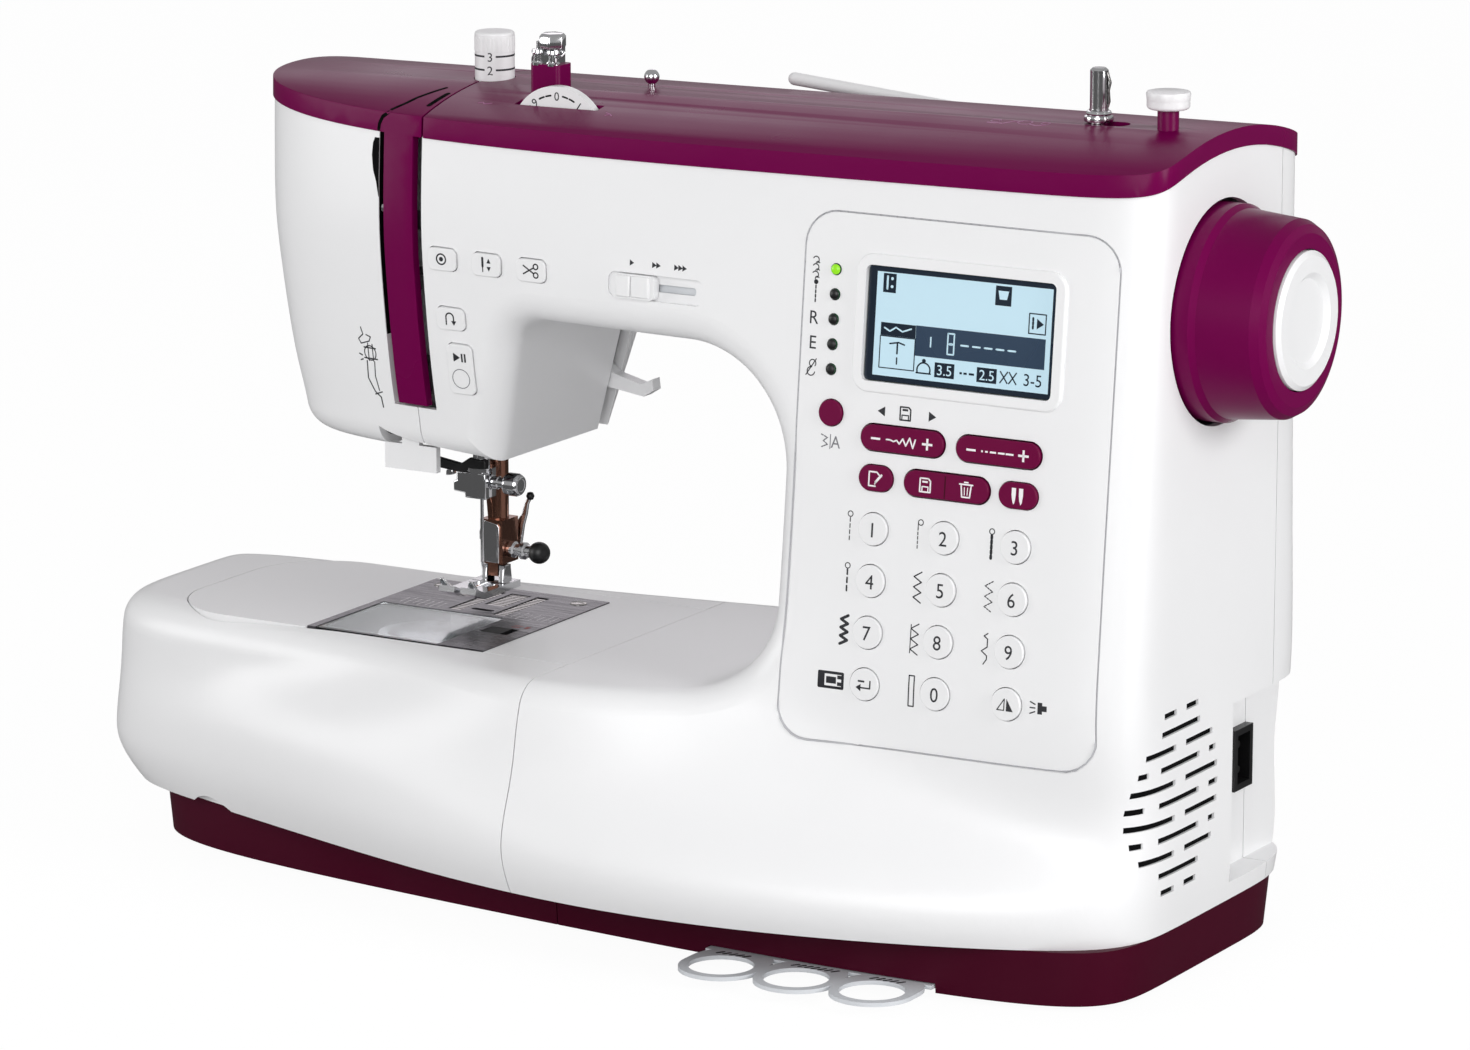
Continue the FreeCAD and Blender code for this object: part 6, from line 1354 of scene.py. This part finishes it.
    def plate(self) -> None:
        """Prints the small marks of the needle plate and lays its screws, with their slots in painted shade."""
        x, y = self.needle_at
        flat = plane_placer(Vector((x, y, self.plate_z)) * MM, RIGHT, REAR)
        pale = Ink()
        for step in range(7):
            tall = 9.0 if step % 2 else 6.0
            pale.block(14.0 + step * 2.6, -1.0, 0.25, tall).block(-16.0 - step * 2.6, -1.0, 0.25, tall)
        pale.lay("plate_guide_lines", flat, INK_WHITE, "machine", "plate_steel", self.print_rise)
        red = Ink().line([(22.0, -14.0), (25.2, -14.0)], 0.5).line([(22.0, -16.2), (25.2, -16.2)], 0.5)
        red.block(27.6, -15.1, 1.6, 2.4)
        red.lay("plate_red_mark", flat, INK_RED, "machine", "plate_steel", self.print_rise)
        head = [(0, -0.3), (3.0, -0.3), (3.0, 0.15), (2.5, 0.45), (0, 0.5)]
        for index, (dx, dy) in enumerate(((-32.0, 24.0), (24.0, 24.0)), 1):
            screw = lathe(head, Vector((x + dx, y + dy, self.plate_z)), UP, 32)
            turned(f"plate_screw_{index}", screw, "machine", STEEL)
            # Each screw's slot is painted shade: a black bar over the flat head.
            slot = Ink().block(dx, dy, 4.6, 0.7)
            slot.lay(f"plate_screw_slot_shade_{index}", flat, BLACK, "machine", "plate_steel", 0.52)


@dataclass
class Casing:
    """Finishes of the CAD nodes and the softened edges of the purple top."""

    finishes: dict[str, Finish] = field(default_factory=lambda: {
        "white_abs": WHITE_SHELL,
        "purple_abs": PURPLE_GLOSS,
        "purple_base_abs": PURPLE_BASE,
        "purple_button": PURPLE_KEY,
        "white_button": WHITE_KEY,
        "grey_card": CARD,
        "black_plastic": BLACK,
        "clear_plastic": CLEAR,
        "plate_steel": PLATE_STEEL,
        "bright_steel": CHROME,
        "cast_aluminium": CAST,
        "steel": STEEL,
        "motor_paint": MOTOR_PAINT,
        "board": BOARD,
    })
    special: dict[str, Finish] = field(default_factory=lambda: {
        "presser_bar": BROWNED,
        "extension_base": PURPLE_TUCKED,
    })
    rounded: tuple[str, ...] = ("top_cover", "head_cap")
    rim_mm: float = 1.6
    rim_steps: int = 3
    rim_angle: float = 48.0
    weld_mm: float = 0.02

    def build(self) -> None:
        """Gives every CAD node the finish of its material slot."""
        for part in frame["record"]["subparts"]:
            node = frame["nodes"][part["node"]]
            finish = self.special.get(part["node"], self.finishes[part["material_slot"]])
            material = finish.build()
            if not node.material_slots:
                node.data.materials.append(material)
            for held in node.material_slots:
                held.material = material
            if part["node"] in self.rounded:
                self.round_rim(node)
            LOG.info("node %s is %s", part["node"], material.name)

    def round_rim(self, node: bpy.types.Object) -> None:
        """Rounds the sharp rim of a cover with modifiers, so that its mesh stays as packed."""
        join = node.modifiers.new("joined", "WELD")
        join.merge_threshold = self.weld_mm * MM
        edge = node.modifiers.new("rounded", "BEVEL")
        edge.width = self.rim_mm * MM
        edge.segments = self.rim_steps
        edge.limit_method = "ANGLE"
        edge.angle_limit = math.radians(self.rim_angle)
        edge.harden_normals = False


@dataclass
class Side:
    """Painted shade as dark strips in the vent slots of the right side, and print on the card, in millimetres."""

    vent_y: float = -10.0
    vent_z: float = 64.0
    half_width: float = 27.0
    half_height: float = 33.0
    pitch: float = 5.9
    slot: float = 2.0
    length: float = 27.0
    space: float = 7.0
    shortest: float = 2.0
    sunk: float = 0.9
    thick: float = 0.8
    trim: float = 0.03
    run: float = 3.0
    wall_x: float = 187.0
    hatches: tuple[tuple[float, int], ...] = ((51.0, 5), (79.5, 7), (109.0, 5))
    hatch_pitch: float = 2.5
    hatch_low: float = -64.6
    hatch_high: float = -62.6
    hatch_lean: float = 1.4

    def build(self) -> None:
        """Lays strips of painted shade into the slots and prints the card."""
        self.vent()
        self.card()

    def card(self) -> None:
        """Prints the slanted hatch along the root of the card."""
        hatch = Ink()
        for start, count in self.hatches:
            for i in range(count):
                x = start + self.hatch_pitch * i
                hatch.line([(x, self.hatch_low), (x + self.hatch_lean, self.hatch_high)], 1.1)
        hatch.print_top("card_hatch", "pattern_card", (0.0, 0.0), INK_DARK, "grey_card", body="card")

    def vent(self) -> None:
        """Lays one strip of painted shade into every slot."""
        tree = surface("front_cover")
        shade_strips = bmesh.new()
        step = self.length + self.space
        rows = int(self.half_height / self.pitch)
        for row in range(-rows, rows + 1):
            reach = self.half_width * math.sqrt(1 - (row * self.pitch / self.half_height) ** 2)
            for j in range(-2, 3):
                middle = (j + 0.5 * (row % 2)) * step
                low = max(middle - self.length / 2, -reach)
                high = min(middle + self.length / 2, reach)
                if high - low > self.shortest:
                    z = self.vent_z + row * self.pitch
                    self.fill(shade_strips, tree, self.vent_y + low, self.vent_y + high, z)
        add_piece("vent_painted_shade", shade_strips, SLOT_SHADE, "machine")

    def skin(self, tree: BVHTree, y: float, z: float) -> float:
        """X of the right side at the height of a slot, from the wall above and below it."""
        found = []
        for side in (-0.5, 0.5):
            start = Vector((RAY_SIDE, y * MM, (z + side * self.pitch) * MM))
            spot = tree.ray_cast(start, -RIGHT)[0]
            if spot:
                found.append(spot.x / MM)
        return max(found, default=self.wall_x)

    def fill(self, shade_strips: bmesh.types.BMesh, tree: BVHTree, low: float, high: float, z: float) -> None:
        """Adds the painted shade strip of one slot, which follows the curve of the wall."""
        count = max(2, math.ceil((high - low) / self.run) + 1)
        half = self.slot / 2 - self.trim
        rings = []
        for i in range(count):
            y = low + self.trim + (high - low - 2 * self.trim) * i / (count - 1)
            x = self.skin(tree, y, z) - self.sunk
            corners = [(x, z - half), (x, z + half), (x - self.thick, z + half), (x - self.thick, z - half)]
            rings.append([shade_strips.verts.new((a * MM, y * MM, b * MM)) for a, b in corners])
        close_rings(shade_strips, rings)


@dataclass(frozen=True)
class Lamp:
    """One round soft lamp, in metres and watts."""

    name: str
    place: Point3
    size: float
    power: float
    tint: Point3 = (1.0, 1.0, 1.0)


@dataclass
class Studio:
    """Floor, light and camera, in metres and degrees."""

    eye: Point3 = (1.0960, -1.8377, 0.6158)
    azimuth: float = 30.35
    elevation: float = 12.78
    lens: float = 159.18
    sensor: float = 36.0
    far: float = 50.0
    floor_size: float = 12.0
    floor_z: float = -0.0005
    floor_share: float = 0.9
    floor_glow: float = 1.06
    floor_shine: float = 0.1
    paper: str = "#CFCFCF"
    world_fill: float = 0.32
    world_shine: float = 1.1
    aim: Point3 = (0.0, 0.0, 0.15)
    lamps: tuple[Lamp, ...] = (
        Lamp("key_softbox", (0.7, -2.15, 0.85), 1.7, 25.5),
        Lamp("right_softbox", (2.2, -0.1, 0.8), 1.2, 28.0),
        Lamp("left_softbox", (-1.8, -1.2, 0.5), 1.2, 12.5),
        Lamp("back_softbox", (-1.35, 2.3, 1.5), 1.6, 6.0, (1.0, 0.93, 1.0)),
    )

    def build(self) -> None:
        """Builds the whole stage."""
        self.camera()
        self.floor()
        self.lights()
        bpy.context.scene.view_settings.view_transform = "Standard"

    def camera(self) -> None:
        """Places the camera of the photographed view."""
        data = bpy.data.cameras.new("studio_camera")
        data.lens = self.lens
        data.sensor_fit = "HORIZONTAL"
        data.sensor_width = self.sensor
        data.clip_end = self.far
        camera = bpy.data.objects.new("studio_camera", data)
        bpy.context.scene.collection.objects.link(camera)
        az, el = math.radians(self.azimuth), math.radians(self.elevation)
        back = Vector((math.sin(az) * math.cos(el), -math.cos(az) * math.cos(el), math.sin(el)))
        camera.matrix_world = self.pose(self.eye, back)
        bpy.context.scene.camera = camera

    def pose(self, place: Point3, back: Vector) -> Matrix:
        """Pose of a camera or lamp at a place that looks away from a direction."""
        return Matrix.Translation(place) @ back.to_track_quat("Z", "Y").to_matrix().to_4x4()

    def rays(self, tree: bpy.types.NodeTree) -> tuple[bpy.types.NodeSocket, bpy.types.NodeSocket]:
        """Sockets that tell rays the camera sees, also through clear pieces, and glossy rays."""
        path = add_node(tree, "ShaderNodeLightPath").outputs
        seen = combine(tree, "MAXIMUM", path["Is Camera Ray"], path["Is Transmission Ray"])
        return seen, path["Is Glossy Ray"]

    def floor(self) -> None:
        """Lays a pale floor that stays white for the camera and keeps a soft shadow."""
        mesh = bmesh.new()
        bmesh.ops.create_grid(mesh, x_segments=1, y_segments=1, size=self.floor_size)
        data = bpy.data.meshes.new("studio_floor")
        mesh.to_mesh(data)
        mesh.free()
        floor = bpy.data.objects.new("studio_floor", data)
        floor.location.z = self.floor_z
        bpy.context.scene.collection.objects.link(floor)
        material = bpy.data.materials.new("paper_white_backdrop")
        material.use_nodes = True
        tree = material.node_tree
        tree.nodes.clear()
        seen, glossy = self.rays(tree)
        share = combine(tree, "MULTIPLY", seen, self.floor_share)
        either = combine(tree, "MAXIMUM", share, glossy)
        level = between(tree, glossy, self.floor_glow, self.floor_shine)
        paper = add_node(tree, "ShaderNodeBsdfDiffuse", {"Color": linear(self.paper)}).outputs[0]
        glow = add_node(tree, "ShaderNodeEmission", {"Color": WHITE, "Strength": level}).outputs[0]
        mixed = add_node(tree, "ShaderNodeMixShader", {0: either, 1: paper, 2: glow})
        add_node(tree, "ShaderNodeOutputMaterial", {"Surface": mixed.outputs[0]})
        data.materials.append(material)

    def lights(self) -> None:
        """Hangs large soft lamps and sets a white world."""
        world = bpy.data.worlds.new("studio_world")
        bpy.context.scene.world = world
        world.use_nodes = True
        tree = world.node_tree
        tree.nodes.clear()
        seen, glossy = self.rays(tree)
        level = between(tree, seen, self.world_fill, 1.0)
        shine = between(tree, glossy, 1.0, self.world_shine)
        strength = combine(tree, "MULTIPLY", level, shine)
        sky = add_node(tree, "ShaderNodeBackground", {"Color": WHITE, "Strength": strength})
        add_node(tree, "ShaderNodeOutputWorld", {"Surface": sky.outputs[0]})
        for given in self.lamps:
            data = bpy.data.lights.new(given.name, "AREA")
            data.shape = "DISK"
            data.size = given.size
            data.energy = given.power
            data.color = given.tint
            lamp = bpy.data.objects.new(given.name, data)
            bpy.context.scene.collection.objects.link(lamp)
            lamp.visible_camera = False
            lamp.matrix_world = self.pose(given.place, Vector(given.place) - Vector(self.aim))


def main() -> None:
    """Builds every sub-assembly in order and logs each one."""
    logging.basicConfig(level=logging.INFO)
    for part in (Studio(), Casing(), PANEL, Head(), TopFittings(), NeedleArea(), Side()):
        part.build()
        LOG.info("built %s", type(part).__name__)


if __name__ == "__main__":
    main()
